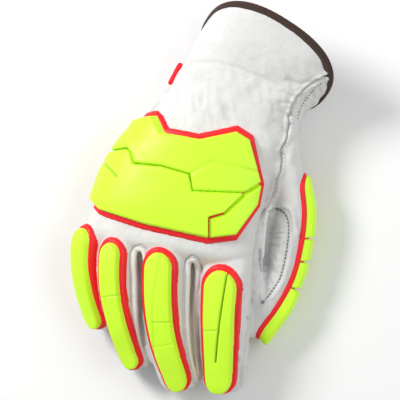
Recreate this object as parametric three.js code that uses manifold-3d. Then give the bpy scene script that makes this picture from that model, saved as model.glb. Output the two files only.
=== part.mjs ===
// A right-hand impact glove lying on its palm: a sewn leather shell with five
// hollow digits, a bound slip-on cuff, and moulded guards in two layers on the
// back of the hand, the fingers and the thumb.
//
// Millimetres, +Z up. The back of the hand faces +Z, the fingers point to -Y,
// the cuff opens to +Y and the thumb lies on the +X side.
import * as THREE from 'three';
import { mergeVertices } from 'three/addons/utils/BufferGeometryUtils.js';
import Module from 'manifold-3d';

const wasm = await Module();
wasm.setup();

// Driving dimensions
const TRUNK_LENGTH = 128.6; // from the finger crotches to the sides of the cuff's rim
const PALM_WIDTH = 108.8; // leather across the knuckles
const KNUCKLE_DEPTH = 37;
const PALM_DEPTH = 48;
const WRIST_WIDTH = 87;
const WRIST_DEPTH = 46;
const CUFF_WIDTH = 90;
const CUFF_DEPTH = 59;
const CUFF_SLANT = 38; // degrees that the rim leans, so the back of the cuff is the longer side
const WEB_WIDTH = 32; // fold of leather between the thumb and the palm
const WEB_DEPTH = 34;
const LEATHER = 1.8; // wall of the shell
const SEAM_GAP = 0.3; // between two leather panels
const CLEARANCE = 0.3; // between a guard and what carries it
const TAPE = 1.2; // thickness of the cuff's binding tape
const TAPE_LEG = 4.4; // how far the tape reaches down each side of the rim
const BASE_THICKNESS = 1.6; // red layer of every guard
const BORDER = 3.2; // red layer that shows round a guard's pads
const PAD_THICKNESS = 3.4; // yellow pads on the digits
const PAD_DRAFT = 0.94; // width of a guard's top as a share of its foot
const PLATE_THICKNESS = 4.2; // yellow plates on the back of the hand
const GROOVE = 1.1; // between two plates or blocks
const PLATE_HEM = 15; // height of the back plate's lower edge on the little-finger side
const TAB_REACH = 3.4; // how far the wrist tab stands off the leather
const WELT_RADIUS = 1.3; // rolled seams between the fingers
const CREASE = 1.1; // width of the slot down the index pad

// left and right tell how far a digit's sides swell below its back
const INDEX = { length: 101, width: 33, depth: 25, left: 1.34, right: 1.1 };
const MIDDLE = { length: 105, width: 30, depth: 24.5, left: 1.12, right: 1.28 };
const RING = { length: 94, width: 25, depth: 22, left: 1, right: 1.13 };
const LITTLE = { length: 81, width: 20, depth: 19.5, left: 1, right: 1.08 };
const THUMB = { length: 167, width: 26, depth: 21.5, left: 1, right: 1 };
const DIGIT_GAP = 1.2; // between the index and the thumb that lies against it

// How finely the surfaces are faceted
const TRUNK_SIDES = 26;
const TRUNK_STEPS = 12;
const WEB_SIDES = 16;
const DIGIT_SIDES = 14;
const LINING_SIDES = 0.6; // sides of the lining of the digits and the web, as a share of the leather's
const DIGIT_STEPS = 5;
const DOME_ANGLES = [32, 58, 78];
const GUARD_ACROSS = 6;
const GUARD_ENDS = [0, 0.14, 0.42, 1]; // rings in a guard's round ends, as shares of the end's radius
const FACET_SLACK = 0.04; // how far a facet may stray when needless edges go
const FAR = 200; // reach of a cutting block past everything it cuts

// Sections of the trunk, from the rounded end between the fingers to the cuff's
// rim. heading, roll and lean are degrees: heading turns the section seen from
// above, roll drops its little-finger side, lean tips its back towards the cuff.
const TRUNK = [
  { x: -0.012 * PALM_WIDTH, y: -0.055 * TRUNK_LENGTH, width: 0.66 * PALM_WIDTH, depth: 0.34 * KNUCKLE_DEPTH,
    under: 0.5 * KNUCKLE_DEPTH, heading: -10, roll: 6, lean: 0 },
  { x: -0.006 * PALM_WIDTH, y: -0.028 * TRUNK_LENGTH, width: 0.86 * PALM_WIDTH, depth: 0.68 * KNUCKLE_DEPTH,
    under: 0.37 * KNUCKLE_DEPTH, heading: -10, roll: 7, lean: 0 },
  { x: 0, y: 0.022 * TRUNK_LENGTH, width: 0.99 * PALM_WIDTH, depth: 0.93 * KNUCKLE_DEPTH,
    under: 0.27 * KNUCKLE_DEPTH, heading: -10, roll: 8, lean: 0 },
  { x: 0.041 * PALM_WIDTH, y: 0.1 * TRUNK_LENGTH, width: PALM_WIDTH, depth: 1.05 * KNUCKLE_DEPTH,
    under: 0.2 * KNUCKLE_DEPTH, heading: -9, roll: 8, lean: 0 },
  { x: 0.069 * PALM_WIDTH, y: 0.21 * TRUNK_LENGTH, width: 0.975 * PALM_WIDTH, depth: 0.91 * PALM_DEPTH,
    under: 0.09 * PALM_DEPTH, heading: -8, roll: 7, lean: 0 },
  { x: 0.115 * PALM_WIDTH, y: 0.343 * TRUNK_LENGTH, width: 0.955 * PALM_WIDTH, depth: 0.99 * PALM_DEPTH,
    under: 0, heading: -8, roll: 6, lean: 0 },
  { x: 0.191 * PALM_WIDTH, y: 0.468 * TRUNK_LENGTH, width: 0.94 * PALM_WIDTH, depth: 1.02 * PALM_DEPTH,
    under: -0.04 * PALM_DEPTH, heading: -8, roll: 4, lean: 0 },
  { x: 0.274 * PALM_WIDTH, y: 0.572 * TRUNK_LENGTH, width: 0.9 * PALM_WIDTH, depth: PALM_DEPTH,
    under: -0.04 * PALM_DEPTH, heading: -9, roll: 3, lean: 0 },
  { x: 0.343 * PALM_WIDTH, y: 0.667 * TRUNK_LENGTH, width: 1.05 * WRIST_WIDTH, depth: 1.02 * WRIST_DEPTH,
    under: -0.03 * WRIST_DEPTH, heading: -12, roll: 2, lean: 2 },
  { x: 0.406 * PALM_WIDTH, y: 0.742 * TRUNK_LENGTH, width: WRIST_WIDTH, depth: WRIST_DEPTH,
    under: -0.02 * WRIST_DEPTH, heading: -17, roll: 1, lean: 0.24 * CUFF_SLANT },
  { x: 0.459 * PALM_WIDTH, y: 0.826 * TRUNK_LENGTH, width: 0.985 * WRIST_WIDTH, depth: 1.05 * WRIST_DEPTH,
    under: 0, heading: -22, roll: 0, lean: 0.5 * CUFF_SLANT },
  { x: 0.508 * PALM_WIDTH, y: 0.893 * TRUNK_LENGTH, width: 0.965 * CUFF_WIDTH, depth: 0.88 * CUFF_DEPTH,
    under: 0.025 * CUFF_DEPTH, heading: -28, roll: 0, lean: 0.74 * CUFF_SLANT },
  { x: 0.593 * PALM_WIDTH, y: 0.978 * TRUNK_LENGTH, width: CUFF_WIDTH, depth: CUFF_DEPTH,
    under: 0.04 * CUFF_DEPTH, heading: -33, roll: 0, lean: CUFF_SLANT },
];

// Sections of the fold of leather that joins the thumb to the palm
const WEB = [
  { x: 0.46 * PALM_WIDTH, y: 0.66 * TRUNK_LENGTH, width: 0.7 * WEB_WIDTH, depth: 0.8 * WEB_DEPTH,
    under: 0.2 * WEB_DEPTH, heading: -8, roll: -8, lean: 0 },
  { x: 0.53 * PALM_WIDTH, y: 0.46 * TRUNK_LENGTH, width: 1.2 * WEB_WIDTH, depth: 1.15 * WEB_DEPTH,
    under: 0, heading: -6, roll: -8, lean: 0 },
  { x: 0.58 * PALM_WIDTH, y: 0.33 * TRUNK_LENGTH, width: 1.2 * WEB_WIDTH, depth: 0.98 * WEB_DEPTH,
    under: -0.02 * WEB_DEPTH, heading: -4, roll: -8, lean: 0 },
  { x: 0.6 * PALM_WIDTH, y: 0.19 * TRUNK_LENGTH, width: 1.1 * WEB_WIDTH, depth: 0.68 * WEB_DEPTH,
    under: -0.02 * WEB_DEPTH, heading: 0, roll: -4, lean: 0 },
  { x: 0.605 * PALM_WIDTH, y: 0.05 * TRUNK_LENGTH, width: 0.95 * WEB_WIDTH, depth: 0.5 * WEB_DEPTH,
    under: 0, heading: 4, roll: 0, lean: 0 },
  { x: 0.605 * PALM_WIDTH, y: -0.09 * TRUNK_LENGTH, width: 0.62 * WEB_WIDTH, depth: 0.42 * WEB_DEPTH,
    under: 0.02 * WEB_DEPTH, heading: 8, roll: 0, lean: 0 },
  { x: 0.58 * PALM_WIDTH, y: -0.24 * TRUNK_LENGTH, width: 0.42 * WEB_WIDTH, depth: 0.36 * WEB_DEPTH,
    under: 0.04 * WEB_DEPTH, heading: 12, roll: 0, lean: 0 },
];

// Digits as chains of bones. root is where a chain starts inside the trunk,
// bones give each one's share of the length and its yaw (from -Y towards +X)
// and pitch (downwards) in degrees, and roll turns the back away from +Z
// towards the little-finger side. The guard runs from start to end along the
// chain, half is half its width as a share of the digit's, and lean turns it
// further round the digit, in degrees.
const DIGITS = {
  index: {
    ...INDEX, roll: 10,
    root: { x: 0.36 * PALM_WIDTH, y: 0.06 * TRUNK_LENGTH, z: 0.82 * KNUCKLE_DEPTH },
    bones: [
      { share: 0.25, yaw: -4, pitch: 0 },
      { share: 0.25, yaw: -3, pitch: 6 },
      { share: 0.26, yaw: 0, pitch: 15 },
      { share: 0.24, yaw: 0, pitch: 17 },
    ],
    guard: { start: 0.18, end: 0.985, half: 0.38, lean: 4 },
  },
  middle: {
    ...MIDDLE, roll: 10,
    root: { x: -0.012 * PALM_WIDTH, y: 0.08 * TRUNK_LENGTH, z: 0.84 * KNUCKLE_DEPTH },
    bones: [
      { share: 0.25, yaw: -4, pitch: 0 },
      { share: 0.21, yaw: 1, pitch: 5 },
      { share: 0.21, yaw: 9, pitch: 13 },
      { share: 0.19, yaw: 17, pitch: 19 },
      { share: 0.14, yaw: 19, pitch: 20 },
    ],
    guard: { start: 0.12, end: 0.975, half: 0.365, lean: 4 },
  },
  ring: {
    ...RING, roll: 24,
    root: { x: -0.276 * PALM_WIDTH, y: 0.1 * TRUNK_LENGTH, z: 0.72 * KNUCKLE_DEPTH },
    bones: [
      { share: 0.21, yaw: -8, pitch: -1 },
      { share: 0.2, yaw: 1, pitch: 5 },
      { share: 0.22, yaw: 11, pitch: 12 },
      { share: 0.2, yaw: 17, pitch: 19 },
      { share: 0.17, yaw: 22, pitch: 16 },
    ],
    guard: { start: 0.08, end: 0.975, half: 0.385, lean: 0 },
  },
  little: {
    ...LITTLE, roll: 44,
    root: { x: -0.356 * PALM_WIDTH, y: 0.19 * TRUNK_LENGTH, z: 0.6 * KNUCKLE_DEPTH },
    bones: [
      { share: 0.24, yaw: -29, pitch: 1 },
      { share: 0.2, yaw: -5, pitch: 6 },
      { share: 0.2, yaw: 8, pitch: 13 },
      { share: 0.18, yaw: 15, pitch: 16 },
      { share: 0.18, yaw: 20, pitch: 14 },
    ],
    guard: { start: 0.17, end: 0.965, half: 0.445, lean: 0 },
  },
  thumb: {
    ...THUMB, roll: -80,
    root: { x: 0.6 * PALM_WIDTH, y: 0.778 * TRUNK_LENGTH, z: 0.54 * PALM_DEPTH },
    bones: [
      { share: 0.1, yaw: 30, pitch: 6 },
      { share: 0.135, yaw: 6, pitch: 6 },
      { share: 0.127, yaw: 8, pitch: 8 },
      { share: 0.118, yaw: 6, pitch: 7 },
      { share: 0.118, yaw: -6, pitch: 4 },
      { share: 0.118, yaw: -14, pitch: 3 },
      { share: 0.108, yaw: -27, pitch: 2 },
      { share: 0.1, yaw: -35, pitch: 1 },
      { share: 0.076, yaw: -36, pitch: 1 },
    ],
    guard: { start: 0.319, end: 0.982, half: 0.44, lean: 0 },
  },
};
const TIP_TAPER = 0.12; // share of its width that a digit loses by its tip
const DIGIT_POWER = 2.3; // 2 is an ellipse, more is squarer
const TRUNK_POWER = 2.35;

// Where the thumb's guard is cut across into blocks, as shares of the guard
const THUMB_CUTS = [0.36, 0.5, 0.655];

// Corners of the guard on the back of the hand, seen from above, as shares of
// the palm's width and the trunk's length. The first and last stand off the
// hand, so that the guard wraps round the little-finger side.
const BACK_OUTLINE = [
  { x: -0.5, y: 0.6 }, { x: -0.15, y: 0.698 }, { x: -0.064, y: 0.704 }, { x: -0.01, y: 0.612 },
  { x: 0.185, y: 0.582 }, { x: 0.415, y: 0.62 }, { x: 0.509, y: 0.572 }, { x: 0.579, y: 0.333 },
  { x: 0.553, y: 0.219 }, { x: 0.415, y: 0.055 }, { x: 0.239, y: 0.038 }, { x: -0.15, y: 0.11 },
  { x: -0.418, y: 0.181 }, { x: -0.6, y: 0.34 },
];
// The groove between the upper and the lower plate, and the one round the
// corner plate at the index knuckle
const BACK_GROOVE = [
  { x: -0.7, y: 0.46 }, { x: -0.233, y: 0.513 }, { x: -0.212, y: 0.495 }, { x: -0.194, y: 0.436 },
  { x: -0.035, y: 0.423 }, { x: 0.129, y: 0.382 }, { x: 0.147, y: 0.299 }, { x: 0.456, y: 0.289 },
];
const CORNER_GROOVE = [
  { x: 0.7, y: 0.43 }, { x: 0.544, y: 0.338 }, { x: 0.456, y: 0.289 }, { x: 0.332, y: 0.184 },
  { x: 0.246, y: 0.163 }, { x: 0.246, y: -0.1 },
];
// The thumb's inner gusset, seen from above
const GUSSET_OUTLINE = [
  { x: 0.58, y: 0.202 }, { x: 0.621, y: 0.222 }, { x: 0.669, y: 0.212 }, { x: 0.705, y: 0.172 },
  { x: 0.723, y: 0.106 }, { x: 0.711, y: 0.035 }, { x: 0.699, y: -0.051 }, { x: 0.669, y: -0.147 },
  { x: 0.621, y: -0.212 }, { x: 0.562, y: -0.253 }, { x: 0.55, y: -0.202 }, { x: 0.562, y: -0.101 },
  { x: 0.5675, y: 0.051 }, { x: 0.5735, y: 0.152 },
];
// The seam between the back and palm panels, seen from the side: y as shares of
// the trunk's length, z as shares of the palm's depth
const SIDE_SEAM = [
  { y: -1.6, z: 0.16 }, { y: -0.7, z: 0.27 }, { y: -0.4, z: 0.42 }, { y: -0.1, z: 0.54 },
  { y: 0.2, z: 0.52 }, { y: 0.5, z: 0.5 }, { y: 0.8, z: 0.56 }, { y: 1.5, z: 0.62 },
];
const SEAM_FALL = 0.12; // how far the seam drops for each mm towards the little finger
// The seam down the thumb's side, seen from above: the back panel ends along it
const THUMB_SEAM = [
  { x: 1.1, y: 1.3 }, { x: 1.05, y: 1 }, { x: 0.92, y: 0.859 }, { x: 0.846, y: 0.811 }, { x: 0.79, y: 0.783 },
  { x: 0.747, y: 0.728 }, { x: 0.717, y: 0.652 }, { x: 0.72, y: 0.612 }, { x: 0.702, y: 0.556 },
  { x: 0.669, y: 0.505 }, { x: 0.675, y: 0.45 }, { x: 0.669, y: 0.394 }, { x: 0.633, y: 0.334 },
  { x: 0.636, y: 0.293 }, { x: 0.597, y: 0.2325 }, { x: 0.562, y: 0.177 }, { x: 0.532, y: 0.131 },
  { x: 0.514, y: 0.02 }, { x: 0.502, y: -0.1415 }, { x: 0.48, y: -0.344 }, { x: 0.48, y: -1.6 },
];

// The wrist tab on the little-finger side: from and to are shares of the trunk's
// sections, low and high are degrees round them from the thumb side
const TAB = { from: 0.745, to: 0.825, low: 174, high: 182 };
// Rolled seams, each a hairpin from one finger's side over the crotch to the
// next finger's. Angles are degrees from the back of the finger, starts and
// ends are shares of it, and the top is a point of the crotch.
const WELTS = {
  ring_middle_welt: {
    left: { finger: 'ring', angle: 62, start: 0.17, end: 0.86 },
    right: { finger: 'middle', angle: -68, start: 0.2, end: 0.74 },
    top: { x: -0.173 * PALM_WIDTH, y: 0.016 * TRUNK_LENGTH, z: 1.09 * KNUCKLE_DEPTH },
  },
  middle_index_welt: {
    left: { finger: 'middle', angle: 64, start: 0.19, end: 0.8 },
    right: { finger: 'index', angle: -66, start: 0.18, end: 0.72 },
    top: { x: 0.14 * PALM_WIDTH, y: -0.043 * TRUNK_LENGTH, z: 1.12 * KNUCKLE_DEPTH },
  },
};

// Materials
const leather = (color) => new THREE.MeshStandardMaterial({ color, roughness: 0.75, metalness: 0 });
const whiteLeather = leather(0xdedddb);
const gussetLeather = leather(0xc9c8c6);
const brownTape = new THREE.MeshStandardMaterial({ color: 0x4b3128, roughness: 0.8, metalness: 0 });
const redRubber = new THREE.MeshStandardMaterial({ color: 0xe8202c, roughness: 0.5, metalness: 0 });
const yellowRubber = new THREE.MeshStandardMaterial({ color: 0xd2f52a, roughness: 0.45, metalness: 0 });

const radians = THREE.MathUtils.degToRad;

// Value of a smooth curve through evenly spaced numbers, t from 0 to 1
function spline(values, t) {
  const last = values.length - 1;
  const place = Math.min(Math.max(t, 0), 1) * last;
  const i = Math.min(Math.floor(place), last - 1);
  const f = place - i;
  const a = values[Math.max(i - 1, 0)];
  const b = values[i];
  const c = values[i + 1];
  const d = values[Math.min(i + 2, last)];
  return b + 0.5 * f * (c - a + f * (2 * a - 5 * b + 4 * c - d + f * (3 * (b - c) + d - a)));
}

// A row of a table of sections, worked out between the rows given
function sectionAt(rows, t) {
  const columns = Object.keys(rows[0]);
  return Object.fromEntries(columns.map((key) => [key, spline(rows.map((row) => row[key]), t)]));
}

function rounded(value, power) {
  return Math.sign(value) * Math.abs(value) ** (2 / power);
}

// Closed mesh through rings of equal size, with flat ends unless it is a loop
function loft(rings, loop = false) {
  const sides = rings[0].length;
  const position = rings.flat().flatMap((p) => [p.x, p.y, p.z]);
  const index = [];
  const steps = loop ? rings.length : rings.length - 1;
  for (let i = 0; i < steps; i += 1) {
    const next = (i + 1) % rings.length;
    for (let j = 0; j < sides; j += 1) {
      const k = (j + 1) % sides;
      const a = i * sides + j;
      const b = i * sides + k;
      const c = next * sides + k;
      const d = next * sides + j;
      index.push(a, b, c, a, c, d);
    }
  }
  if (!loop) {
    const end = (rings.length - 1) * sides;
    for (let j = 1; j < sides - 1; j += 1) {
      index.push(0, j + 1, j);
      index.push(end, end + j, end + j + 1);
    }
  }
  const geometry = new THREE.BufferGeometry();
  geometry.setAttribute('position', new THREE.Float32BufferAttribute(position, 3));
  geometry.setIndex(index);
  return geometry;
}

// A closed three.js mesh as a solid that can be joined and cut
function solid(geometry) {
  const bare = geometry.clone();
  bare.deleteAttribute('normal');
  bare.deleteAttribute('uv');
  const merged = mergeVertices(bare, 1e-4);
  const mesh = new wasm.Mesh({
    numProp: 3,
    vertProperties: new Float32Array(merged.attributes.position.array),
    triVerts: new Uint32Array(merged.index.array),
  });
  const made = new wasm.Manifold(mesh);
  if (made.volume() >= 0) return made;
  const turned = new Uint32Array(merged.index.array);
  for (let i = 0; i < turned.length; i += 3) [turned[i], turned[i + 1]] = [turned[i + 1], turned[i]];
  mesh.triVerts = turned;
  return new wasm.Manifold(mesh);
}

function joined(solids) {
  return solids.reduce((sum, one) => sum.add(one));
}

// The largest body of a solid: a cut leaves crumbs where it grazes a wall
function mainBody(made) {
  return made.decompose().reduce((most, one) => (one.volume() > most.volume() ? one : most));
}

function geometryOf(made) {
  const mesh = made.getMesh();
  const geometry = new THREE.BufferGeometry();
  geometry.setAttribute('position', new THREE.Float32BufferAttribute(mesh.vertProperties, 3));
  geometry.setIndex(new THREE.Uint32BufferAttribute(mesh.triVerts, 1));
  return geometry;
}

// One point of a trunk or web section, grown outwards by grow and kept above floor
function sectionPoint(section, angle, grow, floor) {
  const heading = radians(section.heading);
  const roll = radians(section.roll);
  const across = rounded(Math.cos(angle), TRUNK_POWER) * (section.width / 2 + grow);
  const up = rounded(Math.sin(angle), TRUNK_POWER) * (section.depth / 2 + grow);
  const side = across * Math.cos(roll) - up * Math.sin(roll);
  const rise = across * Math.sin(roll) + up * Math.cos(roll);
  const forward = rise * Math.tan(radians(section.lean));
  return new THREE.Vector3(
    section.x + side * Math.cos(heading) - forward * Math.sin(heading),
    section.y + side * Math.sin(heading) + forward * Math.cos(heading),
    Math.max(section.under + section.depth / 2 + rise, floor),
  );
}

// How many sides a ring gets
function sidesFor(sides, grow) {
  return grow < 0 ? Math.round(sides * LINING_SIDES) : sides;
}

function sectionRing(section, sides, grow, floor) {
  return Array.from({ length: sides }, (_, j) =>
    sectionPoint(section, (j * 2 * Math.PI) / sides, grow, floor));
}

// The trunk or the web, grown outwards by grow. Inside the shell it runs past
// the rim, so that the cuff is open.
function sectionBody(rows, steps, around, grow, past) {
  const floor = Math.max(-grow, 0);
  const rings = [];
  for (let i = 0; i <= steps; i += 1) rings.push(sectionRing(sectionAt(rows, i / steps), around, grow, floor));
  if (past > 0) {
    const rim = sectionAt(rows, 1);
    const heading = radians(rim.heading);
    const step = new THREE.Vector3(-Math.sin(heading), Math.cos(heading), 0).multiplyScalar(past);
    rings.push(rings[rings.length - 1].map((p) => p.clone().add(step)));
  } else {
    const end = sectionAt(rows, 0);
    const heading = radians(end.heading);
    const step = new THREE.Vector3(Math.sin(heading), -Math.cos(heading), 0).multiplyScalar(Math.max(grow, 0));
    rings[0] = rings[0].map((p) => p.clone().add(step));
  }
  return solid(loft(rings));
}

// A digit's line of bones, as a function from 0 at the root to 1 at the tip
function digitLine(digit) {
  const joints = [new THREE.Vector3(digit.root.x, digit.root.y, digit.root.z)];
  const shares = [0];
  for (const bone of digit.bones) {
    const reach = bone.share * digit.length;
    const level = reach * Math.cos(radians(bone.pitch));
    const step = new THREE.Vector3(
      level * Math.sin(radians(bone.yaw)),
      -level * Math.cos(radians(bone.yaw)),
      -reach * Math.sin(radians(bone.pitch)),
    );
    joints.push(joints[joints.length - 1].clone().add(step));
    shares.push(shares[shares.length - 1] + bone.share);
  }
  const total = shares[shares.length - 1];
  return (share) => {
    const wanted = share * total;
    let i = 1;
    while (i < shares.length - 1 && shares[i] < wanted) i += 1;
    const t = (i - 1 + (wanted - shares[i - 1]) / (shares[i] - shares[i - 1])) / (shares.length - 1);
    return new THREE.Vector3(...['x', 'y', 'z'].map((key) => spline(joints.map((p) => p[key]), t)));
  };
}

// A digit's surface: share along it, angle from its back towards +X's side when
// it is positive, and height above the leather. Past the dome's start the
// section shrinks as a quarter circle does.
function digitSurface(digit, share, angle, grow, floor = 0) {
  const line = digitLine(digit);
  const dome = digit.depth / 2;
  const domeStart = 1 - dome / digit.length;
  const along = Math.min(share, domeStart);
  const centre = line(along);
  const ahead = line(Math.min(along + 0.02, 1)).sub(line(along - 0.02)).normalize();
  const swell = Math.min(Math.max((share - domeStart) / (1 - domeStart), 0), 1);
  const shrink = Math.sqrt(Math.max(1 - swell * swell, 0));
  centre.addScaledVector(ahead, swell * (dome + grow));
  const back = new THREE.Vector3(0, 0, 1).addScaledVector(ahead, -ahead.z).normalize();
  const side = new THREE.Vector3().crossVectors(ahead, back).negate();
  const turn = radians(digit.roll);
  const rolledBack = back.clone().multiplyScalar(Math.cos(turn)).addScaledVector(side, -Math.sin(turn));
  const rolledSide = side.clone().multiplyScalar(Math.cos(turn)).addScaledVector(back, Math.sin(turn));
  const taper = 1 - TIP_TAPER * along ** 3;
  const low = Math.min(Math.max((0.34 - Math.cos(angle)) / 0.68, 0), 1);
  const swollen = (angle > 0 && angle < Math.PI ? digit.right : digit.left) - 1;
  const wide = taper * (1 + swollen * low * Math.min(4 * (1 - share), 1));
  const across = rounded(Math.sin(angle), DIGIT_POWER) * ((wide * digit.width) / 2 + grow) * shrink;
  const up = rounded(Math.cos(angle), DIGIT_POWER) * ((taper * digit.depth) / 2 + grow) * shrink;
  const point = centre.addScaledVector(rolledSide, across).addScaledVector(rolledBack, up);
  point.z = Math.max(point.z, floor);
  return point;
}

// Where a digit has its rings, as shares of its length
function digitShares(digit) {
  const domeStart = 1 - digit.depth / 2 / digit.length;
  const shares = [];
  for (let i = 0; i <= DIGIT_STEPS; i += 1) shares.push((domeStart * i) / DIGIT_STEPS);
  for (const angle of DOME_ANGLES) shares.push(domeStart + (1 - domeStart) * Math.sin(radians(angle)));
  return shares;
}

function digitBody(digit, grow) {
  const floor = Math.max(-grow, 0);
  const sides = sidesFor(DIGIT_SIDES, grow);
  return solid(loft(digitShares(digit).map((share) =>
    Array.from({ length: sides }, (_, j) =>
      digitSurface(digit, share, (j * 2 * Math.PI) / sides, grow, floor)))));
}

function trunkBody(grow, past = 0) {
  return sectionBody(TRUNK, TRUNK_STEPS, TRUNK_SIDES, grow, past);
}

function webBody(grow) {
  return sectionBody(WEB, WEB.length, sidesFor(WEB_SIDES, grow), grow, 0);
}

// Everything that a hand would fill, grown outwards by grow. The thumb and its
// web are pressed in where they lie against the index.
function handBody(grow, past = 0) {
  const { thumb, ...fingers } = DIGITS;
  const beside = webBody(grow).add(digitBody(thumb, grow));
  return joined([
    trunkBody(grow, past),
    beside.subtract(digitBody(fingers.index, DIGIT_GAP - grow)),
    ...Object.values(fingers).map((digit) => digitBody(digit, grow)),
  ]);
}

// Seen-from-above corners in millimetres
function corners(outline) {
  return outline.map((p) => new THREE.Vector2(p.x * PALM_WIDTH, p.y * TRUNK_LENGTH));
}

// An upright block over a closed outline
function block(points, low, high) {
  const shape = new THREE.Shape(points);
  const geometry = new THREE.ExtrudeGeometry(shape, { depth: high - low, bevelEnabled: false });
  return solid(geometry.translate(0, 0, low));
}

// An outline moved inwards by inset, with mitred corners
function insetOutline(points, inset) {
  const turn = Math.sign(THREE.ShapeUtils.area(points));
  return points.map((p, i) => {
    const before = points[(i + points.length - 1) % points.length];
    const after = points[(i + 1) % points.length];
    const one = p.clone().sub(before).normalize();
    const two = after.clone().sub(p).normalize();
    const normalOne = new THREE.Vector2(-one.y, one.x);
    const normalTwo = new THREE.Vector2(-two.y, two.x);
    const mitre = normalOne.add(normalTwo);
    return p.clone().addScaledVector(mitre, (turn * inset * 2) / mitre.lengthSq());
  });
}

// A wall that follows a line seen from above, as wide as a groove or a seam
function wall(points, width, low, high) {
  const left = [];
  const right = [];
  points.forEach((p, i) => {
    const before = points[Math.max(i - 1, 0)];
    const after = points[Math.min(i + 1, points.length - 1)];
    const one = (i > 0 ? p.clone().sub(before) : after.clone().sub(p)).normalize();
    const two = (i < points.length - 1 ? after.clone().sub(p) : p.clone().sub(before)).normalize();
    const mitre = new THREE.Vector2(-one.y - two.y, one.x + two.x);
    const step = mitre.multiplyScalar(width / mitre.lengthSq());
    left.push(p.clone().add(step));
    right.unshift(p.clone().sub(step));
  });
  return block([...left, ...right], low, high);
}

// The space above the side seam, as a solid raised by lift
function aboveSeam(lift) {
  const line = SIDE_SEAM.map((p) => new THREE.Vector2(p.y * TRUNK_LENGTH, p.z * PALM_DEPTH + lift));
  const first = line[0];
  const last = line[line.length - 1];
  const shape = new THREE.Shape([...line, new THREE.Vector2(last.x, FAR), new THREE.Vector2(first.x, FAR)]);
  const geometry = new THREE.ExtrudeGeometry(shape, { depth: 2 * FAR, bevelEnabled: false });
  const place = new THREE.Matrix4().set(
    0, 0, 1, -FAR,
    1, 0, 0, 0,
    0, 1, SEAM_FALL, -SEAM_FALL * FAR,
    0, 0, 0, 1,
  );
  return solid(geometry.applyMatrix4(place));
}

// The part of the glove on the little-finger side of the thumb seam, drawn in by inset
function besideThumb(inset) {
  const line = corners(THUMB_SEAM).map((p) => p.clone().setX(p.x - inset));
  const first = line[0];
  const last = line[line.length - 1];
  return block([...line, new THREE.Vector2(-FAR, last.y), new THREE.Vector2(-FAR, first.y)], -FAR, FAR);
}

// How far round a digit a width reaches, at a height above its leather
function reachRound(digit, half, height) {
  const share = Math.min(half / (digit.width / 2 + height), 1);
  return Math.asin(share ** (DIGIT_POWER / 2));
}

// A slab that lies on a digit from low to high above the leather, with round
// ends. start and end are shares of the digit, half is half the slab's width.
function guardSlab(digit, { start, end, half, lean }, low, high, options = {}) {
  const { roundStart = true, roundEnd = true, across = GUARD_ACROSS } = options;
  const reach = Math.min(half / digit.length, (end - start) / 2);
  const near = (share, others) => others.some((other) => Math.abs(other - share) < 0.012);
  const ends = [];
  if (roundStart) ends.push(...GUARD_ENDS.map((part) => start + part * reach));
  else ends.push(start);
  if (roundEnd) ends.push(...GUARD_ENDS.map((part) => end - part * reach));
  else ends.push(end);
  const between = digitShares(digit).filter((share) => share > start && share < end && !near(share, ends));
  const rings = [...ends, ...between].sort((a, b) => a - b).map((share) => {
    const fromStart = (share - start) / reach;
    const fromEnd = (end - share) / reach;
    let narrow = 1;
    if (roundStart && fromStart < 1) narrow = Math.sqrt(1 - (1 - fromStart) ** 2);
    if (roundEnd && fromEnd < 1) narrow = Math.min(narrow, Math.sqrt(1 - (1 - fromEnd) ** 2));
    const wide = half * Math.max(narrow, 0.3);
    const foot = reachRound(digit, wide, low);
    const top = reachRound(digit, wide * PAD_DRAFT, high);
    const point = (k, height, turn) =>
      digitSurface(digit, share, turn * ((2 * k) / across - 1) - radians(lean), height);
    const ring = [];
    for (let k = 0; k <= across; k += 1) ring.push(point(k, low, foot));
    for (let k = across; k >= 0; k -= 1) ring.push(point(k, high, top));
    return ring;
  });
  return solid(loft(rings));
}

// A rolled seam as a tube along its path
const WELT_RINGS = 5; // along each leg
const WELT_STEPS = 2; // between two of those
const WELT_SIDES = 7;
function weltTube({ left, right, top }) {
  const rise = WELT_RADIUS + 2 * CLEARANCE;
  const leg = ({ finger, angle, start, end }) =>
    Array.from({ length: WELT_RINGS }, (_, i) =>
      digitSurface(DIGITS[finger], start + ((end - start) * i) / (WELT_RINGS - 1), radians(angle), rise));
  const path = [...leg(left).reverse(), new THREE.Vector3(top.x, top.y, top.z), ...leg(right)];
  const curve = new THREE.CatmullRomCurve3(path);
  const count = WELT_STEPS * (path.length - 1);
  const rings = Array.from({ length: count + 1 }, (_, i) => {
    const middle = curve.getPoint(i / count);
    const ahead = curve.getTangent(i / count);
    const beside = new THREE.Vector3(-ahead.y, ahead.x, 0).normalize();
    const above = ahead.clone().cross(beside);
    return Array.from({ length: WELT_SIDES }, (__, j) => {
      const angle = (2 * Math.PI * j) / WELT_SIDES;
      return middle.clone()
        .addScaledVector(beside, WELT_RADIUS * Math.cos(angle))
        .addScaledVector(above, WELT_RADIUS * Math.sin(angle));
    });
  });
  // The two legs are joined as solids, because they can lie against each other
  const half = Math.ceil(count / 2);
  return solid(loft(rings.slice(0, half + 1))).add(solid(loft(rings.slice(half))));
}

const glove = new THREE.Group();

function add(name, made, material) {
  const tidy = mainBody(made).asOriginal().simplify(FACET_SLACK);
  const mesh = new THREE.Mesh(geometryOf(tidy), material);
  mesh.name = name;
  glove.add(mesh);
  return mesh;
}

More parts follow.
